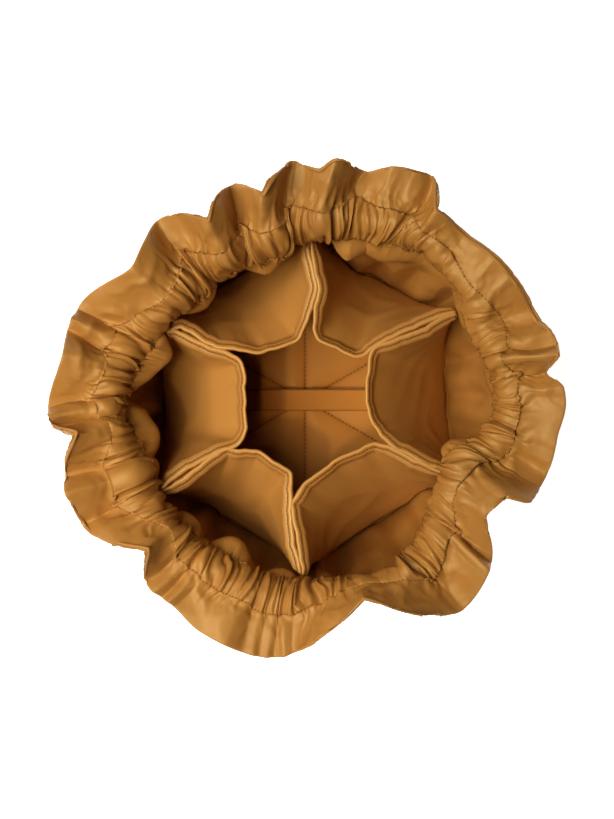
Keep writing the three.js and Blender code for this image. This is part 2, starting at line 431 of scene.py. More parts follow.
def length_setting(name, description, millimetres):
    """A length that a user can change."""
    return FloatProperty(name=name, description=description, default=millimetres * MM, unit="LENGTH")


def power_setting(name, description, watts):
    """A light's power that a user can change."""
    return FloatProperty(name=name, description=description, default=watts, unit="POWER")


def colour_setting(name, description, shade):
    """A colour that a user can change."""
    return FloatVectorProperty(
        name=name, description=description, default=shade, subtype="COLOR", min=0.0, max=1.0
    )


class PouchSizes(bpy.types.PropertyGroup):
    """Sizes of the cloth, the hems and the stitches."""

    cloth: length_setting("Cloth", "Thickness of the satin", 0.6)
    hem_thickness: length_setting("Hem thickness", "Thickness of the frill's turned hem", 1.2)
    topstitch: length_setting("Topstitch", "Distance of the topstitch from the frill's edge", 2.1)
    rim_thickness: length_setting("Rim thickness", "Thickness of a pocket's hemmed rim", 1.1)
    rim_width: length_setting("Rim width", "Width of a pocket's hemmed rim seen from above", 4.4)
    rim_drop: length_setting("Rim drop", "How far a pocket's hemmed rim falls across its width", 2.8)
    stitch_pitch: length_setting("Stitch pitch", "Distance from one stitch to the next", 2.2)
    thread: length_setting("Thread", "Diameter of the sewing thread", 0.42)
    wrinkle: length_setting("Wrinkle", "Height of the small wrinkles in the satin", 0.7)
    seed: IntProperty(name="Seed", description="Start of the draw that makes the puckers uneven", default=11)


class PouchColours(bpy.types.PropertyGroup):
    """Colours of the cloth, the thread and the floor. The pockets' and the base's satin are the body's satin
    with painted light.
    """

    body: colour_setting("Body", "Colour of the wall, casing and frill", (0.41, 0.178, 0.0355))
    # The pockets' colour is the body's satin made lighter and yellower: painted sheen and light on their
    # faces.
    pockets: colour_setting("Pockets", "Colour of the pockets", (0.44, 0.197, 0.042))
    # The base's colour is the body's satin made brighter and redder: painted light for the light that
    # bounces down onto it.
    base: colour_setting("Base", "Colour of the base and the strap", (0.45, 0.175, 0.03))
    thread: colour_setting("Thread", "Colour of the sewing thread", (0.15, 0.052, 0.008))
    floor: colour_setting("Floor", "Colour of the floor", (0.92, 0.92, 0.92))


class PouchStage(bpy.types.PropertyGroup):
    """Strength of the lights, and the camera's height and lens."""

    key: power_setting("Key light", "Power of the main soft light", 69.0)
    top: power_setting("Top lights", "Power that the three lamps over the base share", 32.0)
    side: power_setting("Side light", "Power of the lamp that shines on the left pockets", 150.0)
    sky: FloatProperty(name="Sky", description="Strength of the even light all round", default=0.02)
    floor_glow: FloatProperty(
        name="Floor glow", description="How much of the pale floor's light is its own", default=0.95
    )
    camera_height: length_setting("Camera height", "Height of the camera over the floor", 1000.0)
    camera_lens: FloatProperty(
        name="Camera lens", description="Focal length of the camera in millimetres", default=82.4
    )


# Curves through the tables

# Steps from one bend of a line to the next, the sharpness of the noise's creases, and a guard against 0
SPAN_STEPS = 24
NOISE_GAIN = 2.2
TINY = 1e-9


def ring_curve(angles, values, sharp, at):
    """Values at some angles on a curve that closes after a turn.

    The curve is smooth where sharp is 0 and creased where it is 1.
    """
    angles = np.asarray(angles, float)
    values = np.asarray(values, float)
    sharp = np.broadcast_to(np.asarray(sharp, float), angles.shape)
    span = np.mod(np.roll(angles, -1) - angles, TURN)
    chord = (np.roll(values, -1) - values) / span
    before = np.roll(chord, 1)
    same_way = before * chord > 0
    mean = np.where(same_way, 2 * before * chord / np.where(same_way, before + chord, 1), 0)
    leaving = mean + (chord - mean) * sharp
    arriving = mean + (before - mean) * sharp
    degrees = np.mod(np.asarray(at, float) - angles[0], TURN)
    first = np.searchsorted(np.mod(angles - angles[0], TURN), degrees, side="right") - 1
    second = np.mod(first + 1, len(angles))
    length = span[first]
    t = (degrees - np.mod(angles[first] - angles[0], TURN)) / length
    return hermite(values[first], values[second], length * leaving[first], length * arriving[second], t)


def hermite(start, end, leaving, arriving, t):
    """A cubic from start to end with given tangents, at t from 0 to 1."""
    return (
        (1 + 2 * t) * (1 - t) ** 2 * start
        + t * (1 - t) ** 2 * leaving
        + t * t * (3 - 2 * t) * end
        + t * t * (t - 1) * arriving
    )


def bent_line(points, tension, number):
    """Points at even steps along a line through some bends, rounder with more tension."""
    tangent = np.empty_like(points)
    tangent[1:-1] = tension * (points[2:] - points[:-2])
    tangent[0] = points[1] - points[0]
    tangent[-1] = points[-1] - points[-2]
    t = np.linspace(0, 1, SPAN_STEPS, endpoint=False)[:, None]
    spans = [
        hermite(points[i], points[i + 1], tangent[i], tangent[i + 1], t) for i in range(len(points) - 1)
    ]
    line = np.concatenate(spans + [points[-1:]])
    travel = distance_along(line)
    at = np.linspace(0, travel[-1], number)
    return np.stack([np.interp(at, travel, line[:, axis]) for axis in range(3)], axis=1)


def distance_along(line):
    """How far each point of a line is from its start."""
    return np.concatenate([[0], np.cumsum(np.linalg.norm(np.diff(line, axis=0), axis=1))])


def column(table, place):
    """One column of a table as an array."""
    return np.array([row[place] for row in table], float)


def polar(degrees, radius, height, centre_y=0.0):
    """Points at an angle, radius and height, in millimetres."""
    angle = np.radians(degrees)
    x, y, z = np.broadcast_arrays(
        radius * np.cos(angle), centre_y + radius * np.sin(angle), np.asarray(height, float)
    )
    return np.stack([x, y, z], axis=-1)


def blend(a, b, share):
    """The value that lies at a share of the way from a to b."""
    return a + (b - a) * share


def bell(gap, height, width):
    """A bell curve: its height where the gap is 0, and next to nothing past twice its width."""
    return height * np.exp(-(gap / width) ** 2)


def unit(vectors):
    """Vectors scaled to length 1."""
    return vectors / np.maximum(np.linalg.norm(vectors, axis=-1, keepdims=True), TINY)


def cloth_noise(points, size, seed):
    """Creased noise from 0 to 1 at some points: folds of about this size in millimetres."""
    flat = points.reshape(-1, 3) / size + seed
    ridged = [1 - min(abs(noise.noise(Vector(p))) * NOISE_GAIN, 1) for p in flat]
    return np.array(ridged).reshape(points.shape[:-1])


# The gathered body: one grid of points from the wall's foot to the frill's hem

# Its columns, the rows of its wall, which crowd towards the lip, of its casing and of its frill, where the
# hem starts, and how far the hem's rows are from the edge
COLUMNS = 1500
WALL_STEPS = 27
WALL_CROWDING = 1.6
CASING_STEPS = 18
FRILL_STEPS = 18
HEM_START = 5.5
HEM_STEPS = (4.8, 4.2, 3.4, 2.7, 2.4, 2.1, 1.8, 1.5, 0.8, 0.0)

# Where the wall's radius is measured: steps of height, and the columns beside each one that count too
WALL_LEVELS = 60
WALL_REACH = (-8, -4, 0, 4, 8)


class Gathers:
    """The creases that cross the casing, and how far the cloth puffs up between them."""

    # The ranges that are drawn from: a pucker's share of its stretch, the lean of a stretch and of a pucker
    # beside it, its depth beside the table's, the place of its top and its roundness
    SHARES = (0.35, 2.0)
    LEANS = (-0.9, 0.9)
    MORE_LEANS = (-0.4, 0.4)
    DEPTHS = (0.6, 1.3)
    PEAKS = (0.25, 0.75)
    ROUNDS = (1.1, 2.2)

    # The most depth beside the width, and how far past the stitch rows the creases go on leaning
    STEEPEST = 0.85
    LEANING = (-0.4, 1.6)

    # How far the creases run down the wall, as a share of their reach and a distance
    DOWN_SHARE = 0.25
    DOWN_MORE = 1.6

    # How the creases stray sideways: degrees and waves round, and how the waves move on upwards
    STRAYS = ((0.8, 11), (0.6, 23), (0.3, 53))
    STRAY_SHIFT = 4.0

    def __init__(self, seed, split, share, reach, faint, lower, upper):
        draw = random.Random(seed)
        starts = list(column(CASING_GATHERS, 0)) + [CASING_GATHERS[0][0] + TURN]
        rows = []
        for (start, puckers, depth), end in zip(CASING_GATHERS, starts[1:]):
            shares = np.array([draw.uniform(*self.SHARES) for _ in range(puckers * split)])
            widths = shares / shares.sum() * (end - start)
            lean = draw.uniform(*self.LEANS)
            for width, angle in zip(widths, start + np.cumsum(widths) - widths):
                most_depth = self.STEEPEST * math.radians(width) * MOUTH_RADIUS
                kept = FAINT_SHARE if draw.random() < faint else 1.0
                rows.append(
                    (
                        angle,
                        width * (lean + draw.uniform(*self.MORE_LEANS)),
                        kept * min(share * depth * draw.uniform(*self.DEPTHS), most_depth),
                        draw.uniform(*self.PEAKS),
                        draw.uniform(*lower),
                        draw.uniform(*upper),
                        draw.uniform(*self.ROUNDS),
                        draw.uniform(*reach),
                    )
                )
        columns = np.array(rows).T
        self.angle, self.slant, self.depth, self.peak = columns[:4]
        self.lower, self.upper, self.round, self.reach = columns[4:]

    def height(self, degrees, up, below, above):
        """How far the cloth stands out at each angle, and how much shade is painted into it in a crease.

        Up is a share of the casing's height, and below and above are how far off the casing a row is.
        """
        up = np.clip(up, *self.LEANING)
        degrees = np.mod(degrees + self.wander(degrees, up), TURN)
        place = np.sort(self.angle + self.slant * (up - 0.5))
        edges = np.concatenate([[place[-1] - TURN], place, [place[0] + TURN]])
        which = np.clip(np.searchsorted(edges, degrees, side="right") - 1, 0, len(edges) - 2)
        share = (degrees - edges[which]) / (edges[which + 1] - edges[which])
        here = np.mod(which - 1, len(place))
        there = np.mod(which, len(place))
        strength = np.maximum(blend(self.lower, self.upper, np.clip(up, 0, 1)), 0)
        peak = self.peak[here]
        to_left = np.clip(1 - share / peak, 0, 1) ** self.round[here] * strength[here]
        to_right = np.clip(1 - (1 - share) / (1 - peak), 0, 1) ** self.round[here] * strength[there]
        centre = place + np.mod(np.roll(place, -1) - place, TURN) / 2
        puff = np.interp(degrees, centre, self.depth, period=TURN)
        reach = np.interp(degrees, centre, self.reach, period=TURN)
        down = self.DOWN_SHARE * reach + self.DOWN_MORE
        fade = np.exp(-(below / down) ** 2 - above / reach)
        crease = np.maximum(to_left, to_right)
        # The second value weighs the painted shade in a crease: fuller in deep puckers, and fading off the
        # casing.
        return puff * (1 - crease) * fade, np.minimum(puff / DEEP_PUCKER, 1) * crease ** 2 * fade

    def wander(self, degrees, up):
        """How far the creases stray sideways, in degrees."""
        turn = np.radians(degrees)
        shift = self.STRAY_SHIFT * up
        return np.sum([most * np.sin(turn * waves + waves + shift) for most, waves in self.STRAYS], axis=0)


class Body:
    """The points of the wall, casing and frill, the way that their outer face looks, and how much shade is
    painted into the casing's creases.
    """

    # How often the normals that the puckers stand on are smoothed, and how high the puckers stay at the rows
    EASING = 6
    ROW_SWELL = 0.75

    # Wrinkles: their height beside the setting, their size and the start of their noise
    DRAPE = (4.0, 38.0, 5.3)
    RUMPLE = (1.5, 14.0, 3.7)
    CRUMPLE = (1.0, 6.0, 8.2)
    DRAPE_SCALE = (1.0, 1.0, 0.6)

    def __init__(self, seed, wrinkle):
        self.degrees = np.arange(COLUMNS) * TURN / COLUMNS
        self.read_mouth_and_frill()
        wall_up = 1 - (1 - np.linspace(0, 1, WALL_STEPS)) ** WALL_CROWDING
        casing_up = np.linspace(0, 1, CASING_STEPS)[1:]
        hem_up = 1 - np.array(HEM_STEPS) / FRILL_WIDTH
        below_hem = np.linspace(0, 1 - HEM_START / FRILL_WIDTH, FRILL_STEPS)[1:]
        self.frill_up = np.concatenate([below_hem, hem_up])
        self.lip = len(wall_up) - 1
        self.upper = self.lip + len(casing_up)
        self.hem = self.upper + len(self.frill_up)
        soft = self.soft_folds(seed + 1)
        rows = [self.wall_row(up, soft) for up in wall_up]
        rows += [self.casing_row(up) for up in casing_up]
        rows += [self.frill_row(up) for up in self.frill_up]
        self.shape(np.stack(rows), seed, wrinkle)

    def read_mouth_and_frill(self):
        """The mouth and the frill's folds at every column."""
        at = self.degrees
        mouth_angle = column(MOUTH, 0)
        upper_radius = ring_curve(mouth_angle, column(MOUTH, 1), 0.0, at)
        self.lower_radius = ring_curve(mouth_angle, column(MOUTH, 2), 0.0, at)
        casing, hem, reach, rise, crease, notch, curl = np.array(FRILL_FOLDS).T
        self.hem_angle = at + ring_curve(casing, hem - casing, HEM_TURN, at)
        self.hem_reach = ring_curve(casing, reach + HEM_OUT, notch, at)
        self.hem_curl = ring_curve(casing, curl, 0.0, at)
        rise = FRILL_RISE + FOLD_DEPTH * (rise - LEVEL_RISE)
        self.sharp_rise = ring_curve(casing, rise, crease, at)
        self.round_rise = ring_curve(casing, blend(FRILL_RISE, rise, HEM_SHARE), 0.0, at)
        fold = (self.sharp_rise - FRILL_RISE) / FOLD_STEP
        level_rise = np.sqrt(np.maximum(CASING_WIDTH ** 2 - (upper_radius - self.lower_radius) ** 2, 0))
        level_height = LIP_HEIGHT + np.clip(level_rise, *CASING_RISE)
        self.upper_radius = upper_radius - FOLD_IN * fold
        self.upper_height = level_height + FOLD_UP * fold
        self.level_height = level_height
        waves = [np.sin(np.radians(at) * count + count) for count in FOLD_BEND_COUNTS]
        self.fold_bend = FOLD_BEND * np.sum(waves, axis=0)

    def plain_wall(self, up):
        """The wall's radius without its lobes and folds."""
        slant = blend(FOOT_RADIUS, self.lower_radius, up ** WALL_WIDENING)
        return slant + WALL_BELLY * math.sin(math.pi * up)

    def wall_row(self, up, soft):
        """The wall's points at a share of its height."""
        below = (1 - up) * (LIP_HEIGHT - FOOT_HEIGHT)
        tuck = WALL_TUCK * (1 - math.exp(-below / WALL_TUCK_DROP)) * up ** 2
        radius = self.plain_wall(up) + tuck + soft * math.sin(math.pi * up) ** SOFT_FOLD_SWELL
        inward, fullness = self.lobes(below)
        bulge = inward + np.maximum(radius - self.lower_radius, 0) * fullness
        radius = radius - bulge * min(up / LOBE_FOOT, 1)
        return polar(self.degrees, radius, blend(FOOT_HEIGHT, LIP_HEIGHT, up), NECK_SHIFT_Y * up)

    def lobes(self, below):
        """How far the wall's lobes bulge in past the lip at a depth, and where they are, from 0 to 1."""
        inward = np.zeros(COLUMNS)
        fullness = np.zeros(COLUMNS)
        for start, end, most, drop, taper in WALL_LOBES:
            away = np.mod(self.degrees - (start + end) / 2 + TURN / 2, TURN) - TURN / 2
            across = np.abs(2 * away / (end - start))
            depth = below / drop
            if taper < SHARP_TAPER:
                bow = np.clip(1 - across ** 2, 0, 1) ** taper * depth * math.exp(1 - depth)
            else:
                bow = np.clip(1 - across, 0, 1) * min(depth, math.exp(SHARP_FADE * (1 - depth)))
            inward = np.maximum(inward, most * bow)
            fullness = np.maximum(fullness, bow)
        return inward, fullness

    def soft_folds(self, seed):
        """The wall's broad upright folds."""
        draw = random.Random(seed)
        total = np.zeros(COLUMNS)
        for waves in SOFT_FOLD_COUNTS:
            total += SOFT_FOLD * np.sin(np.radians(self.degrees) * waves + draw.uniform(0, 2 * math.pi))
        return total

    def casing_row(self, up):
        """The casing's points at a share of the way from its lower to its upper stitch row."""
        puff = CASING_PUFF * math.sin(math.pi * up)
        radius = blend(self.lower_radius, self.upper_radius, up) - puff / 2
        height = blend(LIP_HEIGHT, self.upper_height, up) + puff
        return polar(self.degrees, radius, height, NECK_SHIFT_Y)

    def frill_row(self, up):
        """The frill's points at a share of the way from its stitch row to its edge."""
        turn = np.clip(self.hem_curl / FULL_CURL, 0, 1)
        out_at = 1 - CURL_SHARE * turn
        radius = blend(self.upper_radius, self.hem_reach, np.minimum(up / out_at, 1) ** FLARE)
        past = np.maximum(up - out_at, 0) / np.maximum(1 - out_at, TINY)
        radius = radius - self.hem_curl * np.minimum(past, 1) ** CURL_BEND
        angle = blend(self.degrees, self.hem_angle, up) + self.fold_bend * math.sin(math.pi * up)
        rise = blend(self.sharp_rise, self.round_rise, up ** CREASE_FADE)
        height = blend(self.upper_height, self.level_height + rise, 1 - (1 - up) ** LIFT)
        return polar(angle, radius, height, NECK_SHIFT_Y)

    def shape(self, smooth, seed, wrinkle):
        """Add the puckers and wrinkles to the smooth surface, and find its normals."""
        outward = self.normals(smooth, self.EASING)
        step = np.linalg.norm(np.diff(smooth, axis=0), axis=2).mean(axis=1)
        self.along = np.concatenate([[0], np.cumsum(step)])
        lip, upper = self.along[self.lip], self.along[self.upper]
        below = np.maximum(lip - self.along, 0)
        above = np.maximum(self.along - upper, 0)
        up = (self.along - lip) / (upper - lip)
        swell = blend(self.ROW_SWELL, 1, np.sin(np.pi * np.clip(up, 0, 1)))
        stand = np.zeros(smooth.shape[:2])
        # How much shade is painted into the puckers' creases at each point
        self.crease = np.zeros(smooth.shape[:2])
        for more_seed, *kind in PUCKER_KINDS:
            gathers = Gathers(seed + more_seed, *kind)
            rows = [gathers.height(self.degrees, *place) for place in zip(up, below, above)]
            height, crease = (np.stack(part) for part in zip(*rows))
            stand += height * swell[:, None]
            self.crease = np.maximum(self.crease, crease)
        edge_fade = bell(below + above, 1.0, SCALLOP_FADE)
        scallop = -SCALLOP * np.cos(np.pi * np.clip(up, 0, 1)) * edge_fade
        slide = unit(np.gradient(smooth, axis=0)) * (stand * scallop[:, None])[:, :, None]
        stand += wrinkle * self.wrinkles(smooth)
        self.inner = smooth - outward * stand[:, :, None] + slide
        self.outward = self.normals(self.inner, 1)
        self.measure_wall()

    def wrinkles(self, smooth):
        """How far the wrinkles stand out: broad ones on the wall, finer ones round the casing and frill."""
        lip, upper, hem = self.along[self.lip], self.along[self.upper], self.along[-1]
        drape = np.interp(self.along, [0, 10, lip - 12, lip], [0, 1, 1, 0])
        rumple = np.interp(self.along, [0, lip - 16, lip, hem - 8, hem], [0, 0.4, 1, 1, 0.2])
        crumple = np.interp(self.along, [lip - 10, lip, upper, upper + 14], [0, 1, 1, 0.2])
        total = np.zeros(smooth.shape[:2])
        for (height, size, start), share, points in (
            (self.DRAPE, drape, smooth * self.DRAPE_SCALE),
            (self.RUMPLE, rumple, smooth),
            (self.CRUMPLE, crumple, smooth),
        ):
            total += height * share[:, None] * cloth_noise(points, size, start)
        return total

    def measure_wall(self):
        """The wall's least inner radius near each column, at even steps of height."""
        wall = self.inner[: self.lip + 1]
        up = np.clip((wall[:, :, 2] - FOOT_HEIGHT) / (LIP_HEIGHT - FOOT_HEIGHT), 0, 1)
        radius = np.hypot(wall[:, :, 0], wall[:, :, 1] - NECK_SHIFT_Y * up)
        steps = np.linspace(0, 1, WALL_LEVELS)
        columns = [np.interp(steps, np.maximum.accumulate(u), r) for u, r in zip(up.T, radius.T)]
        levels = np.stack(columns, axis=1)
        self.wall_radius = np.min([np.roll(levels, shift, axis=1) for shift in WALL_REACH], axis=0)

    def inside_wall(self, points, gap):
        """Points that lie too near the wall or beyond it, moved in to a gap from it."""
        up = np.clip((points[..., 2] - FOOT_HEIGHT) / (LIP_HEIGHT - FOOT_HEIGHT), 0, 1)
        x, y = points[..., 0], points[..., 1] - NECK_SHIFT_Y * up
        turn = np.mod(np.degrees(np.arctan2(y, x)), TURN) / TURN
        column_at = np.mod(np.round(turn * COLUMNS).astype(int), COLUMNS)
        level = np.minimum((up * (WALL_LEVELS - 1)).astype(int), WALL_LEVELS - 2)
        share = up * (WALL_LEVELS - 1) - level
        under, over = self.wall_radius[level, column_at], self.wall_radius[level + 1, column_at]
        most = blend(under, over, share) - gap
        shrink = np.minimum(most / np.maximum(np.hypot(x, y), TINY), 1)
        return np.stack([x * shrink, y * shrink + NECK_SHIFT_Y * up, points[..., 2]], axis=-1)

    @staticmethod
    def normals(points, smoothing):
        """Normals that point out of the pouch."""
        around = np.roll(points, -1, axis=1) - np.roll(points, 1, axis=1)
        for _ in range(smoothing):
            around = (np.roll(around, 1, axis=1) + around + np.roll(around, -1, axis=1)) / 3
        return unit(np.cross(around, np.gradient(points, axis=0)))


@functools.cache
def pouch_body(seed, wrinkle):
    """The body's grid, worked out once and shared by all that is sewn to it."""
    return Body(seed, wrinkle)


def settings(context):
    """The sizes and colours that are set, and the body's grid that goes with them."""
    sizes = context.scene.pouch_sizes
    return sizes, context.scene.pouch_colours, pouch_body(sizes.seed, sizes.wrinkle / MM)


# Meshes from grids of points

def add_mesh(name, vertices, faces, material, corner_uv=None, seam_and_painted_shade=None):
    """A new smooth-shaded piece from points in millimetres, with its cloth UV map and its seam and painted
    shade.
    """
    mesh = bpy.data.meshes.new(name)
    mesh.from_pydata((np.asarray(vertices) * MM).tolist(), [], faces)
    mesh.polygons.foreach_set("use_smooth", np.ones(len(mesh.polygons), bool))
    if corner_uv is not None:
        layer = mesh.uv_layers.new(name="cloth")
        layer.data.foreach_set("uv", (np.asarray(corner_uv) * MM).astype(np.float32).ravel())
    if seam_and_painted_shade is not None:
        shade = mesh.attributes.new("seam_and_painted_shade", "FLOAT", "POINT")
        shade.data.foreach_set("value", np.asarray(seam_and_painted_shade, np.float32).ravel())
    mesh.materials.append(material)
    mesh.update()
    piece = bpy.data.objects.new(name, mesh)
    bpy.context.scene.collection.objects.link(piece)
    return piece


# The turns of an edge's rounding, in degrees from its inner face
EDGE_TURNS = (45, 90, 135)


def rounded_edge(inner, outer, edge_way):
    """Rows that round the edge between an inner and an outer row of points."""
    middle = (inner + outer) / 2
    half = (inner - outer) / 2
    thick = np.linalg.norm(half, axis=-1, keepdims=True)
    angles = np.radians(EDGE_TURNS)
    return [middle + half * math.cos(a) + edge_way * thick * math.sin(a) for a in angles]


def cloth_ring(name, inner, outer, along, inner_seam_and_painted_shade, outer_seam_and_painted_shade, length, material):
    """A ring of cloth with two faces and rounded edges. Row 0 is its lower end."""
    top = rounded_edge(inner[-1], outer[-1], unit(inner[-1] - inner[-2]))
    low = rounded_edge(outer[0], inner[0], unit(inner[0] - inner[1]))
    rows = np.stack([*inner, *top, *outer[::-1], *low])
    count, columns = rows.shape[:2]
    edge = np.ones(len(EDGE_TURNS))
    depth = np.concatenate([along, edge * along[-1], along[::-1], edge * along[0]])
    plain = np.zeros((len(EDGE_TURNS), columns))
    seam_and_painted_shade = np.concatenate([inner_seam_and_painted_shade, plain, outer_seam_and_painted_shade[::-1], plain])
    index = np.arange(count * columns).reshape(count, columns)
    above = np.roll(index, -1, axis=0)
    faces = np.stack([index, above, np.roll(above, -1, axis=1), np.roll(index, -1, axis=1)], axis=2)
    u = np.broadcast_to(np.arange(columns) / columns * length, (count, columns))
    next_u = u + length / columns
    v = np.broadcast_to(depth[:, None], (count, columns))
    next_v = np.roll(v, -1, axis=0)
    corners = [(u, v), (u, next_v), (next_u, next_v), (next_u, v)]
    uv = np.stack([np.stack(corner, axis=2) for corner in corners], axis=2)
    return add_mesh(name, rows.reshape(-1, 3), faces.reshape(-1, 4).tolist(), material, uv, seam_and_painted_shade)


def cloth_panel(name, front, back, across, along, shade, material):
    """A panel of cloth with two faces and four closed edges. Its last row is its rounded rim."""
    top = rounded_edge(front[-1], back[-1], unit(front[-1] - front[-2]))
    rows = np.stack([*front, *top, *back[::-1]])
    edge = np.ones(len(EDGE_TURNS))
    depth = np.concatenate([along, edge * along[-1], along[::-1]])
    seam_and_painted_shade = np.concatenate([shade, edge * 0, shade[::-1]])
    count, columns = rows.shape[:2]
    index = np.arange(count * columns).reshape(count, columns)
    quads = np.stack([index[:-1, :-1], index[:-1, 1:], index[1:, 1:], index[1:, :-1]], axis=2)
    foot = np.stack([index[-1, :-1], index[-1, 1:], index[0, 1:], index[0, :-1]], axis=1)
    faces = quads.reshape(-1, 4).tolist() + foot.tolist()
    for side, step in ((index[:, 0], 1), (index[:, -1], -1)):
        for row in range(count // 2):
            ends = [side[row], side[row + 1], side[count - 2 - row], side[count - 1 - row]]
            corners = list(dict.fromkeys(int(corner) for corner in ends))
            faces.append(corners[::step])
    uv = np.stack(np.broadcast_arrays(across[None, :], depth[:, None]), axis=2).reshape(-1, 2)
    corner_uv = uv[np.array([corner for face in faces for corner in face])]
    seam_and_painted_shade = np.broadcast_to(seam_and_painted_shade[:, None], (count, columns))
    return add_mesh(name, rows.reshape(-1, 3), faces, material, corner_uv, seam_and_painted_shade)


# A stitch is a bar of thread that dips at both ends. Its sections give a shift along half its length, and
# a swell and lift beside its radius. It has some sides, and takes up a share of the pitch.
STITCH_SECTIONS = (
    # shift, swell, lift
    (-1.0, 0.25, -0.5),
    (-0.62, 0.9, 0.25),
    (0.62, 0.9, 0.25),
    (1.0, 0.25, -0.5),
)
STITCH_SIDES = 6
STITCH_SHARE = 0.66


def stitch_row(points, normals, pitch, radius, closed):
    """Vertices and faces of the stitches along a line of points."""
    if closed:
        points = np.concatenate([points, points[:1]])
        normals = np.concatenate([normals, normals[:1]])
    travel = distance_along(points)
    number = max(int(round(travel[-1] / pitch)), 1)
    middle = (np.arange(number) + 0.5) * travel[-1] / number
    half = pitch * STITCH_SHARE / 2

    def at(values, place):
        return np.stack([np.interp(place, travel, values[:, axis]) for axis in range(3)], axis=1)

    start, end = at(points, middle - half), at(points, middle + half)
    way = unit(end - start)
    side = unit(np.cross(at(normals, middle), way))
    lift_way = np.cross(way, side)
    angles = 2 * np.pi * np.arange(STITCH_SIDES) / STITCH_SIDES
    ring = side[:, None] * np.cos(angles)[None, :, None] + lift_way[:, None] * np.sin(angles)[None, :, None]
    sections = [
        ((start + end) / 2 + way * shift * half + lift_way * lift * radius)[:, None] + ring * swell * radius
        for shift, swell, lift in STITCH_SECTIONS
    ]
    vertices = np.stack(sections, axis=1)
    last = (len(STITCH_SECTIONS) - 1) * STITCH_SIDES
    one = [list(reversed(range(STITCH_SIDES))), [last + k for k in range(STITCH_SIDES)]]
    for section in range(0, last, STITCH_SIDES):
        for k in range(STITCH_SIDES):
            a, b = section + k, section + (k + 1) % STITCH_SIDES
            one.append([a, b, b + STITCH_SIDES, a + STITCH_SIDES])
    size = len(STITCH_SECTIONS) * STITCH_SIDES
    faces = [[corner + size * n for corner in face] for n in range(number) for face in one]
    return vertices.reshape(-1, 3), faces


def add_stitches(name, lines, sizes, colours, stoutness=1.0):
    """One piece of all the stitches along several lines, each points, normals and closed."""
    vertices = np.empty((0, 3))
    faces = []
    pitch = sizes.stitch_pitch / MM
    radius = stoutness * sizes.thread / MM / 2
    for points, normals, closed in lines:
        more, more_faces = stitch_row(points, normals, pitch, radius, closed)
        faces += [[corner + len(vertices) for corner in face] for face in more_faces]
        vertices = np.concatenate([vertices, more])
    return add_mesh(name, vertices, faces, thread_material(colours))


# Materials

# The gloss of the satin on the base, the body and the pockets, and its highlights' colour and roughness
BASE_GLOSS = 0.2
BODY_GLOSS = 0.6
POCKET_GLOSS = 1.0
SATIN_ROUGHNESS = 0.48
SATIN_HIGHLIGHT = (1.0, 0.86, 0.45, 1.0)

# The colour that the dye is multiplied by where a seam is darker, partly as its own line and partly as
# painted shade, and where shade is painted into creases, onto the strap's edges and low on the wall's
# inside; the tones of the dye and of the thread, and where on the noise the darker and the lighter tone are
SEAM_AND_PAINTED_SHADE_TONE = (0.42, 0.3, 0.22, 1.0)
DYE_TONES = (0.96, 1.04)
THREAD_TONES = (0.7, 1.3)
TONE_PLACES = (0.3, 0.7)

# The places of a colour mix's share, its two colours and its result among the sockets
MIX_SHARE = 0
MIX_FIRST = 6
MIX_SECOND = 7
MIX_RESULT = 2

WHITE = (1.0, 1.0, 1.0, 1.0)


def node(tree, kind, **values):
    """A new shader node with some of its settings or inputs set."""
    new = tree.nodes.new(kind)
    for key, value in values.items():
        if hasattr(new, key):
            setattr(new, key, value)
        else:
            new.inputs[key.replace("_", " ")].default_value = value
    return new


def new_material(name):
    """A new material, its node tree and its shader."""
    material = bpy.data.materials.new(name)
    material.use_nodes = True
    return material, material.node_tree, material.node_tree.nodes["Principled BSDF"]


def two_tones(tree, colour, tones):
    """A colour ramp between a darker and a lighter tone of a colour."""
    ramp = node(tree, "ShaderNodeValToRGB")
    for element, place, tone in zip(ramp.color_ramp.elements, TONE_PLACES, tones):
        element.position = place
        element.color = (*[min(channel * tone, 1.0) for channel in colour], 1.0)
    return ramp


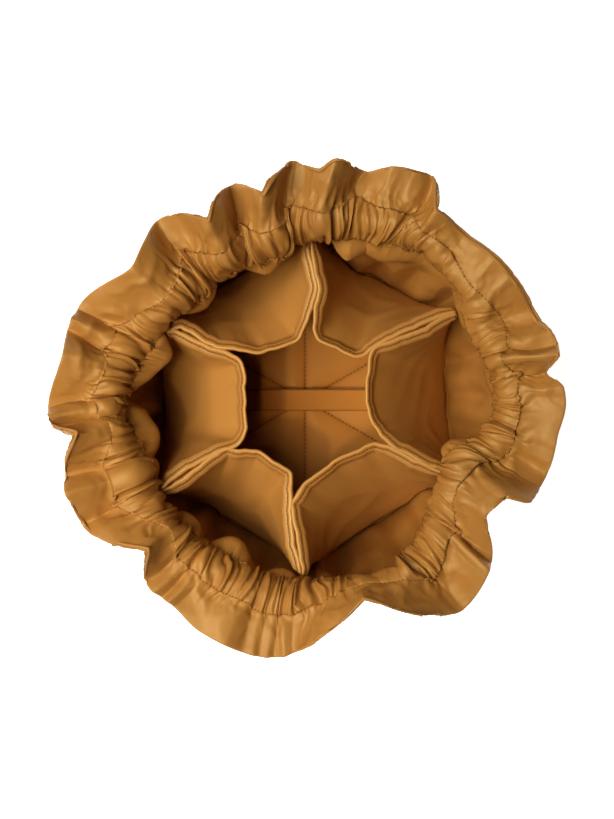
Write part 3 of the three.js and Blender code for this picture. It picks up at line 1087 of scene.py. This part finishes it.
def satin_material(name, colour, gloss):
    """Satin: fine crosswise ribs, slightly uneven dye, seams darkened partly as their own line and partly
    with painted shade, and painted shade in creases and hollows.
    """
    material = bpy.data.materials.get(name)
    if material:
        return material
    material, tree, shader = new_material(name)
    link = tree.links.new
    shader.inputs["Roughness"].default_value = SATIN_ROUGHNESS
    shader.inputs["Specular IOR Level"].default_value = gloss
    shader.inputs["Specular Tint"].default_value = SATIN_HIGHLIGHT
    place = node(tree, "ShaderNodeTexCoord")
    dye = node(tree, "ShaderNodeTexNoise", Scale=24.0, Detail=4.0, Roughness=0.6)
    link(place.outputs["Object"], dye.inputs["Vector"])
    tint = two_tones(tree, colour, DYE_TONES)
    link(dye.outputs["Fac"], tint.inputs["Fac"])
    # The seam shade and painted shade from the mesh's attribute darken the dye.
    seam_and_painted_shade = node(tree, "ShaderNodeAttribute", attribute_name="seam_and_painted_shade")
    darker = node(tree, "ShaderNodeMix", data_type="RGBA", blend_type="MULTIPLY")
    darker.inputs[MIX_SECOND].default_value = SEAM_AND_PAINTED_SHADE_TONE
    link(seam_and_painted_shade.outputs["Fac"], darker.inputs[MIX_SHARE])
    link(tint.outputs["Color"], darker.inputs[MIX_FIRST])
    link(darker.outputs[MIX_RESULT], shader.inputs["Base Color"])
    ribs = node(tree, "ShaderNodeTexWave", bands_direction="Y", Scale=420.0, Distortion=1.2, Detail=2.0)
    link(place.outputs["UV"], ribs.inputs["Vector"])
    rib_bump = node(tree, "ShaderNodeBump", Strength=0.1, Distance=0.0002)
    link(ribs.outputs["Fac"], rib_bump.inputs["Height"])
    rumple = node(tree, "ShaderNodeTexNoise", Scale=220.0, Detail=4.0, Roughness=0.5)
    link(place.outputs["Object"], rumple.inputs["Vector"])
    rumple_bump = node(tree, "ShaderNodeBump", Strength=0.12, Distance=0.0005)
    link(rumple.outputs["Fac"], rumple_bump.inputs["Height"])
    link(rib_bump.outputs["Normal"], rumple_bump.inputs["Normal"])
    link(rumple_bump.outputs["Normal"], shader.inputs["Normal"])
    return material


def thread_material(colours):
    """Twisted sewing thread."""
    material = bpy.data.materials.get("sewing_thread")
    if material:
        return material
    material, tree, shader = new_material("sewing_thread")
    shader.inputs["Roughness"].default_value = 0.6
    shader.inputs["Specular IOR Level"].default_value = 0.1
    place = node(tree, "ShaderNodeTexCoord")
    twist = node(tree, "ShaderNodeTexNoise", Scale=900.0, Detail=2.0)
    tree.links.new(place.outputs["Object"], twist.inputs["Vector"])
    tint = two_tones(tree, colours.thread, THREAD_TONES)
    tree.links.new(twist.outputs["Fac"], tint.inputs["Fac"])
    tree.links.new(tint.outputs["Color"], shader.inputs["Base Color"])
    return material


def floor_material(colours, glow):
    """Pale paper that shows hardly any shadow."""
    material, _, shader = new_material("floor_paper")
    shader.inputs["Roughness"].default_value = 0.9
    shader.inputs["Base Color"].default_value = (*colours.floor, 1.0)
    shader.inputs["Emission Color"].default_value = WHITE
    shader.inputs["Emission Strength"].default_value = glow
    return material


def finish_piece(piece, slot, *nodes):
    """Tie a piece to the body and hide the nodes that it stands for. Its slot for a finish is not used."""
    if nodes:
        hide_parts(*nodes)
    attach(piece, "root")


class POUCH_OT_base(bpy.types.Operator):
    """Make the round quilted base and its star of stitches"""

    bl_idname = "pouch.base"
    bl_label = "Base"

    # Rings and segments of the pad, how far its rim reaches under the wall, and its lowest place
    RINGS = 60
    SEGMENTS = 144
    RIM_OUT = 0.4
    LOWEST = 0.3

    # The height of the stitched lines, the puff between them, and how far it falls off to a line and the rim
    SEAM_HEIGHT = BASE_TOP - 1.4
    PUFF = 1.5
    LINE_FALL = 3.5
    RIM_FALL = 3.0

    # How far the underside turns up at the rim, and over which width
    TURN_UP = 0.5
    TURN_UP_WIDTH = 2.0

    # The star: the turn of its lines, where each half of a line starts, where it ends, and its points
    STAR = (30, 90, 150)
    HALVES = ((0, 1.0), (180, 2.2))
    STAR_END = BASE_RADIUS - 3
    STAR_POINTS = 60

    # The stitches' stoutness beside the other rows, their lift, and the shade and width of the seam, partly
    # its own darker line and partly painted shade
    STOUTNESS = 1.5
    THREAD_LIFT = 0.03
    SEAM_SHADE = 0.45
    SEAM_WIDTH = 0.9

    def execute(self, context):
        sizes = context.scene.pouch_sizes
        colours = context.scene.pouch_colours
        rim = FOOT_RADIUS + self.RIM_OUT
        radius = np.linspace(0, rim, self.RINGS)[1:]
        turns = np.arange(self.SEGMENTS) * TURN / self.SEGMENTS
        grid = np.stack([polar(turns, r, 0.0) for r in radius])
        gap = self.from_star(grid)
        edge = (rim - radius)[:, None]
        puff = self.PUFF * (1 - np.exp(-gap / self.LINE_FALL)) * (1 - np.exp(-edge / self.RIM_FALL))
        top = grid.copy()
        top[:, :, 2] = self.SEAM_HEIGHT + puff
        low = grid.copy()
        low[:, :, 2] = self.LOWEST + self.TURN_UP * np.exp(-edge / self.TURN_UP_WIDTH)
        seam_and_painted_shade = bell(gap, self.SEAM_SHADE, self.SEAM_WIDTH)
        base = self.pad(top, low, seam_and_painted_shade, satin_material("satin_of_base", colours.base, BASE_GLOSS))
        finish_piece(base, "base_satin", "base_disc")
        lines = []
        for turn in self.STAR:
            for half, start in self.HALVES:
                reach = np.linspace(start, self.STAR_END, self.STAR_POINTS)
                points = polar(turn + half, reach, self.SEAM_HEIGHT + self.THREAD_LIFT)
                lines.append((points, np.broadcast_to([0.0, 0.0, 1.0], points.shape), False))
        stitches = add_stitches("base_stitches", lines, sizes, colours, self.STOUTNESS)
        finish_piece(stitches, "base_satin")
        return {"FINISHED"}

    def from_star(self, points):
        """How far points are from the nearest stitched line."""
        ways = np.radians(self.STAR)
        gaps = [np.abs(points[..., 0] * math.sin(w) - points[..., 1] * math.cos(w)) for w in ways]
        return np.min(gaps, axis=0)

    def pad(self, top, low, seam_and_painted_shade, material):
        """A closed round pad from the rings of its top and of its underside."""
        peak = np.array([0.0, 0.0, self.SEAM_HEIGHT])
        bottom = np.array([0.0, 0.0, self.LOWEST])
        vertices = np.concatenate([[peak], top.reshape(-1, 3), [bottom], low.reshape(-1, 3)])
        shade = np.concatenate([[seam_and_painted_shade.max()], seam_and_painted_shade.ravel(), np.zeros(1 + seam_and_painted_shade.size)])
        under = 1 + seam_and_painted_shade.size
        outer = (self.RINGS - 2) * self.SEGMENTS
        faces = []
        for s in range(self.SEGMENTS):
            a, b = 1 + s, 1 + (s + 1) % self.SEGMENTS
            faces.append([0, a, b])
            faces.append([under, under + b, under + a])
            for ring in range(0, outer, self.SEGMENTS):
                c, d = a + ring, b + ring
                faces.append([c, c + self.SEGMENTS, d + self.SEGMENTS, d])
                c, d = c + under, d + under
                faces.append([c, d, d + self.SEGMENTS, c + self.SEGMENTS])
            faces.append([a + outer, a + outer + under, b + outer + under, b + outer])
        uv = vertices[np.array([corner for face in faces for corner in face])][:, :2]
        return add_mesh("base_pad", vertices, faces, material, uv, shade)


class POUCH_OT_strap(bpy.types.Operator):
    """Make the strap that lies across the base"""

    bl_idname = "pouch.strap"
    bl_label = "Strap"

    # Cuts across its faces, its rounded edges, and the angle up to which its faces are shaded as one
    CUTS = 9
    BEVEL = 0.3
    BEVEL_STEPS = 3
    SMOOTH_ANGLE = 40

    # How far its middle stands off the base, and how much more on its one long edge and less on the other
    SLACK = 2.6
    TILT = 2.2

    # The painted shade on its two long edges, more on the upper one as a painted shadow line, and their
    # width beside the rounding
    PAINTED_EDGE_SHADOWS = (0.5, 1.0)
    EDGE_WIDTH = 1.2

    def execute(self, context):
        size = (STRAP_HIGH - STRAP_LOW) * MM
        bpy.ops.object.select_all(action="DESELECT")
        bpy.ops.mesh.primitive_cube_add(size=1.0, location=(STRAP_LOW + STRAP_HIGH) / 2 * MM)
        strap = context.object
        strap.name = "strap"
        strap.scale = size
        bpy.ops.object.transform_apply(location=True, rotation=False, scale=True)
        bpy.ops.object.mode_set(mode="EDIT")
        bpy.ops.mesh.select_all(action="SELECT")
        bpy.ops.mesh.subdivide(number_cuts=self.CUTS)
        bpy.ops.object.mode_set(mode="OBJECT")
        for vertex in strap.data.vertices:
            middle = 1 - (vertex.co.x / (size[0] / 2)) ** 2
            vertex.co.z += (self.SLACK + self.TILT * vertex.co.y / (size[1] / 2)) * MM * middle
        bevel = strap.modifiers.new("edges", "BEVEL")
        bevel.width = self.BEVEL * MM
        bevel.segments = self.BEVEL_STEPS
        bpy.ops.object.modifier_apply(modifier=bevel.name)
        bpy.ops.object.shade_smooth_by_angle(angle=math.radians(self.SMOOTH_ANGLE))
        self.paint_edge_shadows(strap, size[1] / 2)
        colours = context.scene.pouch_colours
        strap.data.materials.append(satin_material("satin_of_base", colours.base, BASE_GLOSS))
        finish_piece(strap, "strap_satin", "base_strap")
        return {"FINISHED"}

    def paint_edge_shadows(self, strap, half):
        """Paint shade onto the two long edges, more onto the upper one as a shadow line beside it."""
        shade = strap.data.attributes.new("seam_and_painted_shade", "FLOAT", "POINT")
        for vertex, value in zip(strap.data.vertices, shade.data):
            if abs(vertex.co.y) > half - self.EDGE_WIDTH * self.BEVEL * MM:
                value.value = self.PAINTED_EDGE_SHADOWS[vertex.co.y > 0]


# The length of cloth that is gathered round the neck
GATHERED_LENGTH = 860.0

# The depth and width of the groove at a stitch row, the shade and width of its seam, which is partly its own
# darker line and partly painted shade, and the share of the inner face's shade that the outer face has
ROW_GROOVE = (0.12, 0.7)
ROW_SHADE = (0.15, 0.6)
OUTER_SHARE = 0.6


def stitched_groove(body):
    """How deep the two stitch rows draw the body's cloth in at each row, and how dark they are: partly their
    own line and partly painted shade.
    """
    gaps = [np.abs(body.along - body.along[row]) for row in (body.lip, body.upper)]
    groove = np.sum([bell(gap, *ROW_GROOVE) for gap in gaps], axis=0)
    return groove, np.max([bell(gap, *ROW_SHADE) for gap in gaps], axis=0)


def body_ring(name, body, first, last, thickness, colours, inner_painted_shade=0.0, outer_painted_shade=0.0):
    """A ring of the body's cloth from one row to another, drawn in at the stitch rows, with painted shade in
    its creases.
    """
    groove, seam_and_painted_shade = stitched_groove(body)
    rows = slice(first, last + 1)
    # Shade along the stitch rows, partly the seams' own darker line and partly painted, and painted shade in
    # the puckers' creases; the outer face gets a share of it.
    shade = np.maximum(seam_and_painted_shade[:, None], PAINTED_CREASE_SHADE * body.crease)[rows]
    inner = body.inner[rows] + body.outward[rows] * groove[rows, None, None]
    outer = body.inner[rows] + body.outward[rows] * thickness
    inner_painted_shade = np.maximum(shade, inner_painted_shade)
    outer_painted_shade = np.maximum(shade * OUTER_SHARE, outer_painted_shade)
    material = satin_material("satin_of_body", colours.body, BODY_GLOSS)
    along = body.along[rows]
    return cloth_ring(name, inner, outer, along, inner_painted_shade, outer_painted_shade, GATHERED_LENGTH, material)


class POUCH_OT_wall(bpy.types.Operator):
    """Make the soft side wall"""

    bl_idname = "pouch.wall"
    bl_label = "Side wall"

    # The painted shade low down on the wall's inside: its strength, where it starts and is full under the
    # lip, and the side where it is darkest
    PAINTED_DEEP_SHADE = 0.8
    DEEP_DROP = (14.0, 34.0)
    DEEP_SIDE = 205.0

    def execute(self, context):
        sizes, colours, body = settings(context)
        # Paint shade onto the wall's inside, deeper under the lip and darkest on one side.
        below = body.along[body.lip] - body.along[: body.lip + 1]
        deep = np.interp(below, self.DEEP_DROP, (0, 1))
        side = 0.5 + 0.5 * np.cos(np.radians(body.degrees - self.DEEP_SIDE))
        shade = self.PAINTED_DEEP_SHADE * deep[:, None] * side
        cloth = sizes.cloth / MM
        wall = body_ring("side_wall_cloth", body, 0, body.lip, cloth, colours, inner_painted_shade=shade)
        finish_piece(wall, "body_satin", "side_wall")
        return {"FINISHED"}


class POUCH_OT_casing(bpy.types.Operator):
    """Make the gathered casing and its two stitch rows"""

    bl_idname = "pouch.casing"
    bl_label = "Casing"

    def execute(self, context):
        sizes, colours, body = settings(context)
        casing = body_ring("casing_cloth", body, body.lip, body.upper, sizes.cloth / MM, colours)
        finish_piece(casing, "body_satin", "casing")
        groove, _ = stitched_groove(body)
        lines = []
        for row in (body.lip, body.upper):
            points = body.inner[row] + body.outward[row] * groove[row]
            lines.append((points, -body.outward[row], True))
        stitches = add_stitches("casing_stitches", lines, sizes, colours)
        finish_piece(stitches, "body_satin")
        return {"FINISHED"}


class POUCH_OT_frill(bpy.types.Operator):
    """Make the frill with its turned hem and topstitch"""

    bl_idname = "pouch.frill"
    bl_label = "Frill"

    # The depth and width of the groove at the topstitch, the shade and width of its seam, partly its own
    # darker line and partly painted shade in the groove, and how far the thread lies in it
    HEM_GROOVE = (0.35, 0.45)
    HEM_SHADE = (0.6, 0.5)
    THREAD_SINK = 0.2

    def execute(self, context):
        sizes, colours, body = settings(context)
        from_edge = (1 - body.frill_up) * FRILL_WIDTH
        stitch_gap = np.abs(from_edge - sizes.topstitch / MM)
        thickness = np.where(from_edge < HEM_START, sizes.hem_thickness, sizes.cloth) / MM
        thickness = thickness - bell(stitch_gap, *self.HEM_GROOVE)
        thickness = np.concatenate([[sizes.cloth / MM], thickness])[:, None, None]
        shade = np.concatenate([[0], bell(stitch_gap, *self.HEM_SHADE)])[:, None]
        frill = body_ring("frill_cloth", body, body.upper, body.hem, thickness, colours, outer_painted_shade=shade)
        finish_piece(frill, "body_satin", "frill")
        row = int(np.argmin(stitch_gap)) + 1
        way = body.outward[body.upper + row]
        points = body.inner[body.upper + row] + way * (thickness[row] - self.THREAD_SINK)
        stitches = add_stitches("hem_stitches", [(points, way, True)], sizes, colours)
        finish_piece(stitches, "body_satin")
        return {"FINISHED"}


class POUCH_OT_pockets(bpy.types.Operator):
    """Make the six hemmed pocket panels and their topstitches"""

    bl_idname = "pouch.pockets"
    bl_label = "Pockets"

    # Columns and rows of a panel, and the rows across its rim as shares of the rim's width
    COLUMNS = 150
    ROWS = 30
    RIM_SHARES = (0.06, 0.2, 0.35, 0.43, 0.5, 0.57, 0.65, 0.8, 1.0)

    # The rim: its height, the roundness of its bends, how often its ways are smoothed, its puff, and its
    # small waves, each a height and a length
    RIM_HEIGHT = 76.5
    RIM_TENSION = 0.22
    WAY_EASING = 3
    RIM_PUFF = 0.4
    RIM_WAVES = ((0.16, 17.0), (0.13, 9.3), (0.08, 5.6))

    # Up to where from the centre the rim is steep, where that ends, and its width and drop there beside the
    # settings
    STEEP_RIM = (30.0, 48.0)
    STEEP_WIDTH = 0.6
    STEEP_DROP = 1.35

    # The rim's tips: half the gap at a seam in degrees, the length of their taper, and the width left there
    SEAM_HALF_GAP = 0.75
    TIP_TAPER = 9.0
    TIP_WIDTH = 0.4

    # The foot: its radius in the middle and at most, its height, and where on the wall it is looked for
    PANEL_FOOT = 74.4
    PANEL_FOOT_MOST = 83.0
    PANEL_FOOT_HEIGHT = 3.6
    FOOT_SHARE = 0.5
    FOOT_LEVELS = 30

    # How far the line of a rim and of a foot, and any point of a panel, stay inside the wall
    WALL_GAP = 2.8
    CLEAR_OF_WALL = 1.0

    # The panel's curve, how often the rim's bends are smoothed for its upper and its lower part, and how
    # high up the bends and the rim itself set in
    PANEL_LEAN = 0.12
    PANEL_RISE = 0.08
    BEND_EASING = 20
    PANEL_EASING = 120
    BEND_FADE = 2.5
    BEND_SWELL = 4
    RIM_FADE = 9

    # The size of the ripples, and the step from one pocket's noise to the next
    RIPPLE_SIZE = 22.0
    RIPPLE_STEP = 3.1

    # The rolled lip: the gap between two rims under which their lips meet, how far from the centre they do,
    # the gap left between them, the lip's rows, and how far it goes out and down, alone and where it meets
    MEETING = (8.0, 10.0)
    PINCH = (42.0, 50.0)
    MEETING_GAP = 0.6
    ROLL_SHARES = (0.35, 0.7, 1.0)
    ROLL_OUT = 0.1
    ROLL_DROP = (0.6, 4.2)

    # The topstitch: its place on the rim's width, the depth and width of its groove, and its shade, partly
    # the seam's own darker line and partly painted shade in the groove, and width
    STITCH_PLACE = 0.5
    STITCH_GROOVE = (0.38, 0.5)
    STITCH_SHADE = (0.9, 0.6)

    def execute(self, context):
        sizes, colours, body = settings(context)
        ends = POCKET_SEAMS[1:] + (POCKET_SEAMS[0] + TURN,)
        spans = list(enumerate(zip(POCKET_SEAMS, ends), 1))
        rims = [self.rim(number, seams, body) for number, seams in spans]
        lines = []
        for number, seams in spans:
            beside = [rims[number - 2][0], rims[number % len(rims)][0]]
            panel, more = self.panel(number, seams, rims[number - 1], beside, body, sizes, colours)
            finish_piece(panel, "pocket_satin", f"pocket_{number}")
            lines += more
        stitches = add_stitches("pocket_stitches", lines, sizes, colours)
        finish_piece(stitches, "pocket_satin")
        return {"FINISHED"}

    def tip(self, seam_and_painted_shade, side, body):
        """Where a rim meets the wall at a seam, on the seam's one side or the other."""
        up = (self.RIM_HEIGHT - FOOT_HEIGHT) / (LIP_HEIGHT - FOOT_HEIGHT)
        radius = np.interp(np.mod(seam_and_painted_shade, TURN), body.degrees, body.plain_wall(up))
        wall = polar(seam_and_painted_shade, radius, 0.0, NECK_SHIFT_Y * up)
        angle = math.degrees(math.atan2(wall[1], wall[0]))
        return polar(angle + side * self.SEAM_HALF_GAP, math.hypot(*wall[:2]) - self.WALL_GAP, 0.0)

    def rim(self, number, seams, body):
        """The line of a rim's topstitch, and the way that points out of the pocket along it."""
        bends = [(x, y, 0.0) for pocket, x, y in POCKET_RIMS if pocket == number]
        points = np.array([self.tip(seams[0], 1, body), *bends, self.tip(seams[1], -1, body)])
        line = bent_line(points, self.RIM_TENSION, self.COLUMNS)
        travel = distance_along(line)
        way = self.eased(np.gradient(line, axis=0), self.WAY_EASING)
        out = unit(np.stack([-way[:, 1], way[:, 0], np.zeros(len(way))], axis=1))
        from_tip = np.minimum(travel, travel[-1] - travel)
        waves = [most * np.sin(2 * np.pi * travel / span + number + span) for most, span in self.RIM_WAVES]
        wave = np.sum(waves, axis=0) * np.clip(from_tip / self.TIP_TAPER, 0, 1)
        return line + out * wave[:, None], out

    def foot(self, seams, body):
        """The crease where a panel meets the base and then the wall: nearly straight seen from above."""
        angles = np.linspace(seams[0] + self.SEAM_HALF_GAP, seams[1] - self.SEAM_HALF_GAP, self.COLUMNS)
        away = np.radians(angles - (seams[0] + seams[1]) / 2)
        radius = np.minimum(self.PANEL_FOOT / np.cos(away), self.PANEL_FOOT_MOST)
        up = np.linspace(0, self.FOOT_SHARE, self.FOOT_LEVELS)
        wall = np.array([body.plain_wall(share).mean() for share in up]) - self.WALL_GAP
        height = np.interp(radius, wall, blend(FOOT_HEIGHT, LIP_HEIGHT, up))
        return polar(angles, radius, np.maximum(height, self.PANEL_FOOT_HEIGHT))

    def rolled_edge(self, line, out, beside, half_rim):
        """The way from a rim's edge to its rolled lip, which meets the lip of the rim beside it."""
        others = np.concatenate(beside)
        ways = others[None] - line[:, None]
        gaps = np.linalg.norm(ways, axis=2)
        nearest = gaps.argmin(axis=1)
        way = unit(ways[np.arange(len(line)), nearest])
        gap = gaps.min(axis=1)[:, None]
        near = np.interp(gap, self.MEETING, (1, 0))
        near = near * np.interp(np.hypot(line[:, :1], line[:, 1:2]), self.PINCH, (0, 1))
        aside = way * near * np.maximum(gap / 2 - half_rim - self.MEETING_GAP, 0) + out * self.ROLL_OUT
        return aside, blend(*self.ROLL_DROP, near)

    def panel(self, number, seams, rim, beside, body, sizes, colours):
        """One pocket's panel, and the lines of its topstitch on both faces."""
        line, out = rim
        up = np.array([0.0, 0.0, 1.0])
        steep = np.interp(np.hypot(line[:, 0], line[:, 1]), self.STEEP_RIM, (1, 0))[:, None]
        travel = distance_along(line)
        from_tip = np.minimum(travel, travel[-1] - travel)[:, None]
        taper = blend(self.TIP_WIDTH, 1.0, np.clip(from_tip / self.TIP_TAPER, 0, 1))
        half_rim = sizes.rim_width / MM / 2 * blend(1.0, self.STEEP_WIDTH, steep) * taper
        drop = sizes.rim_drop / MM * blend(1.0, self.STEEP_DROP, steep)
        edge = line + out * half_rim + up * self.RIM_HEIGHT
        fold = line - out * half_rim + up * (self.RIM_HEIGHT - drop)
        share = np.linspace(0, 1, self.ROWS)
        middle = self.hung_cloth(fold, self.foot(seams, body), share)
        middle = middle + self.normals(middle) * self.ripples(middle, share, number, sizes)[:, :, None]
        rim_share = np.array(self.RIM_SHARES)
        hem = fold[None] + (edge - fold)[None] * rim_share[:, None, None]
        hem = hem + up * (self.RIM_PUFF * np.sin(np.pi * rim_share))[:, None, None]
        aside, fall = self.rolled_edge(line, out, beside, half_rim)
        roll_share = np.array(self.ROLL_SHARES)
        step = roll_share[:, None, None]
        roll = edge[None] + aside[None] * step - up * fall[None] * step ** 2
        middle = body.inside_wall(np.concatenate([middle, hem, roll]), self.CLEAR_OF_WALL)
        normal = self.normals(middle)
        across_rim = np.concatenate([share * 0 - 1, rim_share, 1 + roll_share])
        rim_length = math.hypot(sizes.rim_width, sizes.rim_drop) / MM
        stitch_gap = np.abs(across_rim - self.STITCH_PLACE) * rim_length
        thick = np.where(across_rim > 0, sizes.rim_thickness, sizes.cloth) / MM
        half = (thick / 2 - bell(stitch_gap, *self.STITCH_GROOVE))[:, None, None]
        front = body.inside_wall(middle + normal * half, self.CLEAR_OF_WALL / 2)
        back = body.inside_wall(middle - normal * half, self.CLEAR_OF_WALL / 2)
        shade = bell(stitch_gap, *self.STITCH_SHADE)
        along = distance_along(middle[:, self.COLUMNS // 2])
        material = satin_material("satin_of_pockets", colours.pockets, POCKET_GLOSS)
        name = f"pocket_cloth_{number}"
        piece = cloth_panel(name, back[:, ::-1], front[:, ::-1], travel, along, shade, material)
        row = int(np.argmin(stitch_gap))
        return piece, [(front[row], normal[row], False), (back[row], -normal[row], False)]

    def hung_cloth(self, fold, foot, share):
        """The cloth of a panel from its foot up to the fold of its rim, smoother the lower it is."""
        bent = self.eased(fold, self.BEND_EASING)
        soft = self.eased(fold, self.PANEL_EASING)
        inward = blend(share, share ** 3, self.PANEL_LEAN)
        upward = blend(share, share ** 3, -self.PANEL_RISE)
        bend = share ** self.BEND_FADE * (1 + self.BEND_SWELL * (1 - share))
        top = soft[None] + (bent - soft)[None] * bend[:, None, None]
        top = top + (fold - bent)[None] * (share ** self.RIM_FADE)[:, None, None]
        return foot[None] + (top - foot[None]) * np.stack([inward, inward, upward], axis=1)[:, None]

    @staticmethod
    def eased(line, times):
        """A line with its bends smoothed away some number of times."""
        line = line.copy()
        for _ in range(times):
            line[1:-1] = (line[:-2] + line[1:-1] + line[2:]) / 3
        return line

    @staticmethod
    def normals(points):
        """Normals that point into the pocket."""
        return unit(np.cross(np.gradient(points, axis=1), np.gradient(points, axis=0)))

    def ripples(self, points, share, number, sizes):
        """Small wrinkles that die out at the foot and the rim."""
        height = sizes.wrinkle / MM * np.sin(np.pi * share)
        return cloth_noise(points, self.RIPPLE_SIZE, number * self.RIPPLE_STEP) * height[:, None]


class POUCH_OT_stage(bpy.types.Operator):
    """Make the pale floor, the soft lights and the camera"""

    bl_idname = "pouch.stage"
    bl_label = "Stage"

    # The floor's size in metres. The lights' places and sizes are in metres too.
    FLOOR_SIZE = 40.0

    # The large soft light from the left
    KEY_PLACE = (-1.12, -0.12, 2.04)
    KEY_AIM = (0.0, 0.0, 0.08)
    KEY_SIZE = 1.7
    KEY_COLOUR = (1.0, 0.95, 0.84)

    # The three lamps over the base: cones in degrees, and how soft their edges are from 0 to 1
    TOP_PLACES = ((-0.12, 0.0, 1.4), (-0.12, -0.14, 1.4), (-0.12, -0.28, 1.4))
    TOP_AIM = (0.006, 0.012, 0.0)
    TOP_RADIUS = 0.06
    TOP_CONE = 4.4
    TOP_SOFTNESS = 0.9
    TOP_COLOUR = (1.0, 0.67, 0.38)

    # The lamp for the left pockets
    SIDE_PLACE = (-0.367, -0.285, 1.28)
    SIDE_AIM = (-0.042, -0.025, 0.045)
    SIDE_RADIUS = 0.1
    SIDE_CONE = 3.8
    SIDE_SOFTNESS = 1.0
    SIDE_COLOUR = (1.0, 0.85, 0.62)

    # The camera's place over the floor, in millimetres
    CAMERA_X = 1.06
    CAMERA_Y = -5.05

    def execute(self, context):
        scene = context.scene
        stage = scene.pouch_stage
        bpy.ops.object.select_all(action="DESELECT")
        bpy.ops.mesh.primitive_plane_add(size=self.FLOOR_SIZE)
        floor = context.object
        floor.name = "floor"
        floor.data.materials.append(floor_material(scene.pouch_colours, stage.floor_glow))
        world = bpy.data.worlds.new("studio")
        world.use_nodes = True
        background = world.node_tree.nodes["Background"]
        background.inputs["Color"].default_value = WHITE
        background.inputs["Strength"].default_value = stage.sky
        scene.world = world
        key = self.lamp(scene, "key_light", "AREA", stage.key, self.KEY_COLOUR, self.KEY_PLACE, self.KEY_AIM)
        key.size = self.KEY_SIZE
        power = stage.top / len(self.TOP_PLACES)
        for number, place in enumerate(self.TOP_PLACES, 1):
            top = self.lamp(
                scene, f"top_light_{number}", "SPOT", power, self.TOP_COLOUR, place, self.TOP_AIM
            )
            self.narrow(top, self.TOP_RADIUS, self.TOP_CONE, self.TOP_SOFTNESS)
        side = self.lamp(
            scene, "side_light", "SPOT", stage.side, self.SIDE_COLOUR, self.SIDE_PLACE, self.SIDE_AIM
        )
        self.narrow(side, self.SIDE_RADIUS, self.SIDE_CONE, self.SIDE_SOFTNESS)
        camera = bpy.data.cameras.new("camera")
        camera.lens = stage.camera_lens
        eye = bpy.data.objects.new("camera", camera)
        eye.location = (self.CAMERA_X * MM, self.CAMERA_Y * MM, stage.camera_height)
        scene.collection.objects.link(eye)
        scene.camera = eye
        scene.view_settings.view_transform = "Standard"
        return {"FINISHED"}

    def lamp(self, scene, name, kind, power, colour, place, aim):
        """A light at a place that shines at another one."""
        light = bpy.data.lights.new(name, kind)
        light.energy = power
        light.color = colour
        lamp = bpy.data.objects.new(name, light)
        lamp.location = place
        lamp.rotation_euler = (Vector(aim) - lamp.location).to_track_quat("-Z", "Y").to_euler()
        scene.collection.objects.link(lamp)
        return light

    def narrow(self, light, radius, cone, softness):
        """Give a spot its lamp's radius, its cone in degrees and the softness of the cone's edge."""
        light.shadow_soft_size = radius
        light.spot_size = math.radians(cone)
        light.spot_blend = softness


class POUCH_PT_panel(bpy.types.Panel):
    """The pouch's operators and settings"""

    bl_label = "Jewelry pouch"
    bl_idname = "POUCH_PT_panel"
    bl_space_type = "VIEW_3D"
    bl_region_type = "UI"
    bl_category = "Pouch"

    def draw(self, context):
        layout = self.layout
        for operator in OPERATORS:
            layout.operator(operator.bl_idname)
        for group in (context.scene.pouch_sizes, context.scene.pouch_colours, context.scene.pouch_stage):
            box = layout.box()
            for name in group.__annotations__:
                box.prop(group, name)


OPERATORS = (
    POUCH_OT_base,
    POUCH_OT_strap,
    POUCH_OT_wall,
    POUCH_OT_casing,
    POUCH_OT_frill,
    POUCH_OT_pockets,
    POUCH_OT_stage,
)
CLASSES = (PouchSizes, PouchColours, PouchStage, *OPERATORS, POUCH_PT_panel)


def register():
    for cls in CLASSES:
        bpy.utils.register_class(cls)
    bpy.types.Scene.pouch_sizes = PointerProperty(type=PouchSizes)
    bpy.types.Scene.pouch_colours = PointerProperty(type=PouchColours)
    bpy.types.Scene.pouch_stage = PointerProperty(type=PouchStage)


def unregister():
    del bpy.types.Scene.pouch_stage
    del bpy.types.Scene.pouch_colours
    del bpy.types.Scene.pouch_sizes
    for cls in reversed(CLASSES):
        bpy.utils.unregister_class(cls)


def main():
    register()
    bpy.ops.pouch.base()
    bpy.ops.pouch.strap()
    bpy.ops.pouch.wall()
    bpy.ops.pouch.casing()
    bpy.ops.pouch.frill()
    bpy.ops.pouch.pockets()
    bpy.ops.pouch.stage()


if __name__ == "__main__":
    main()
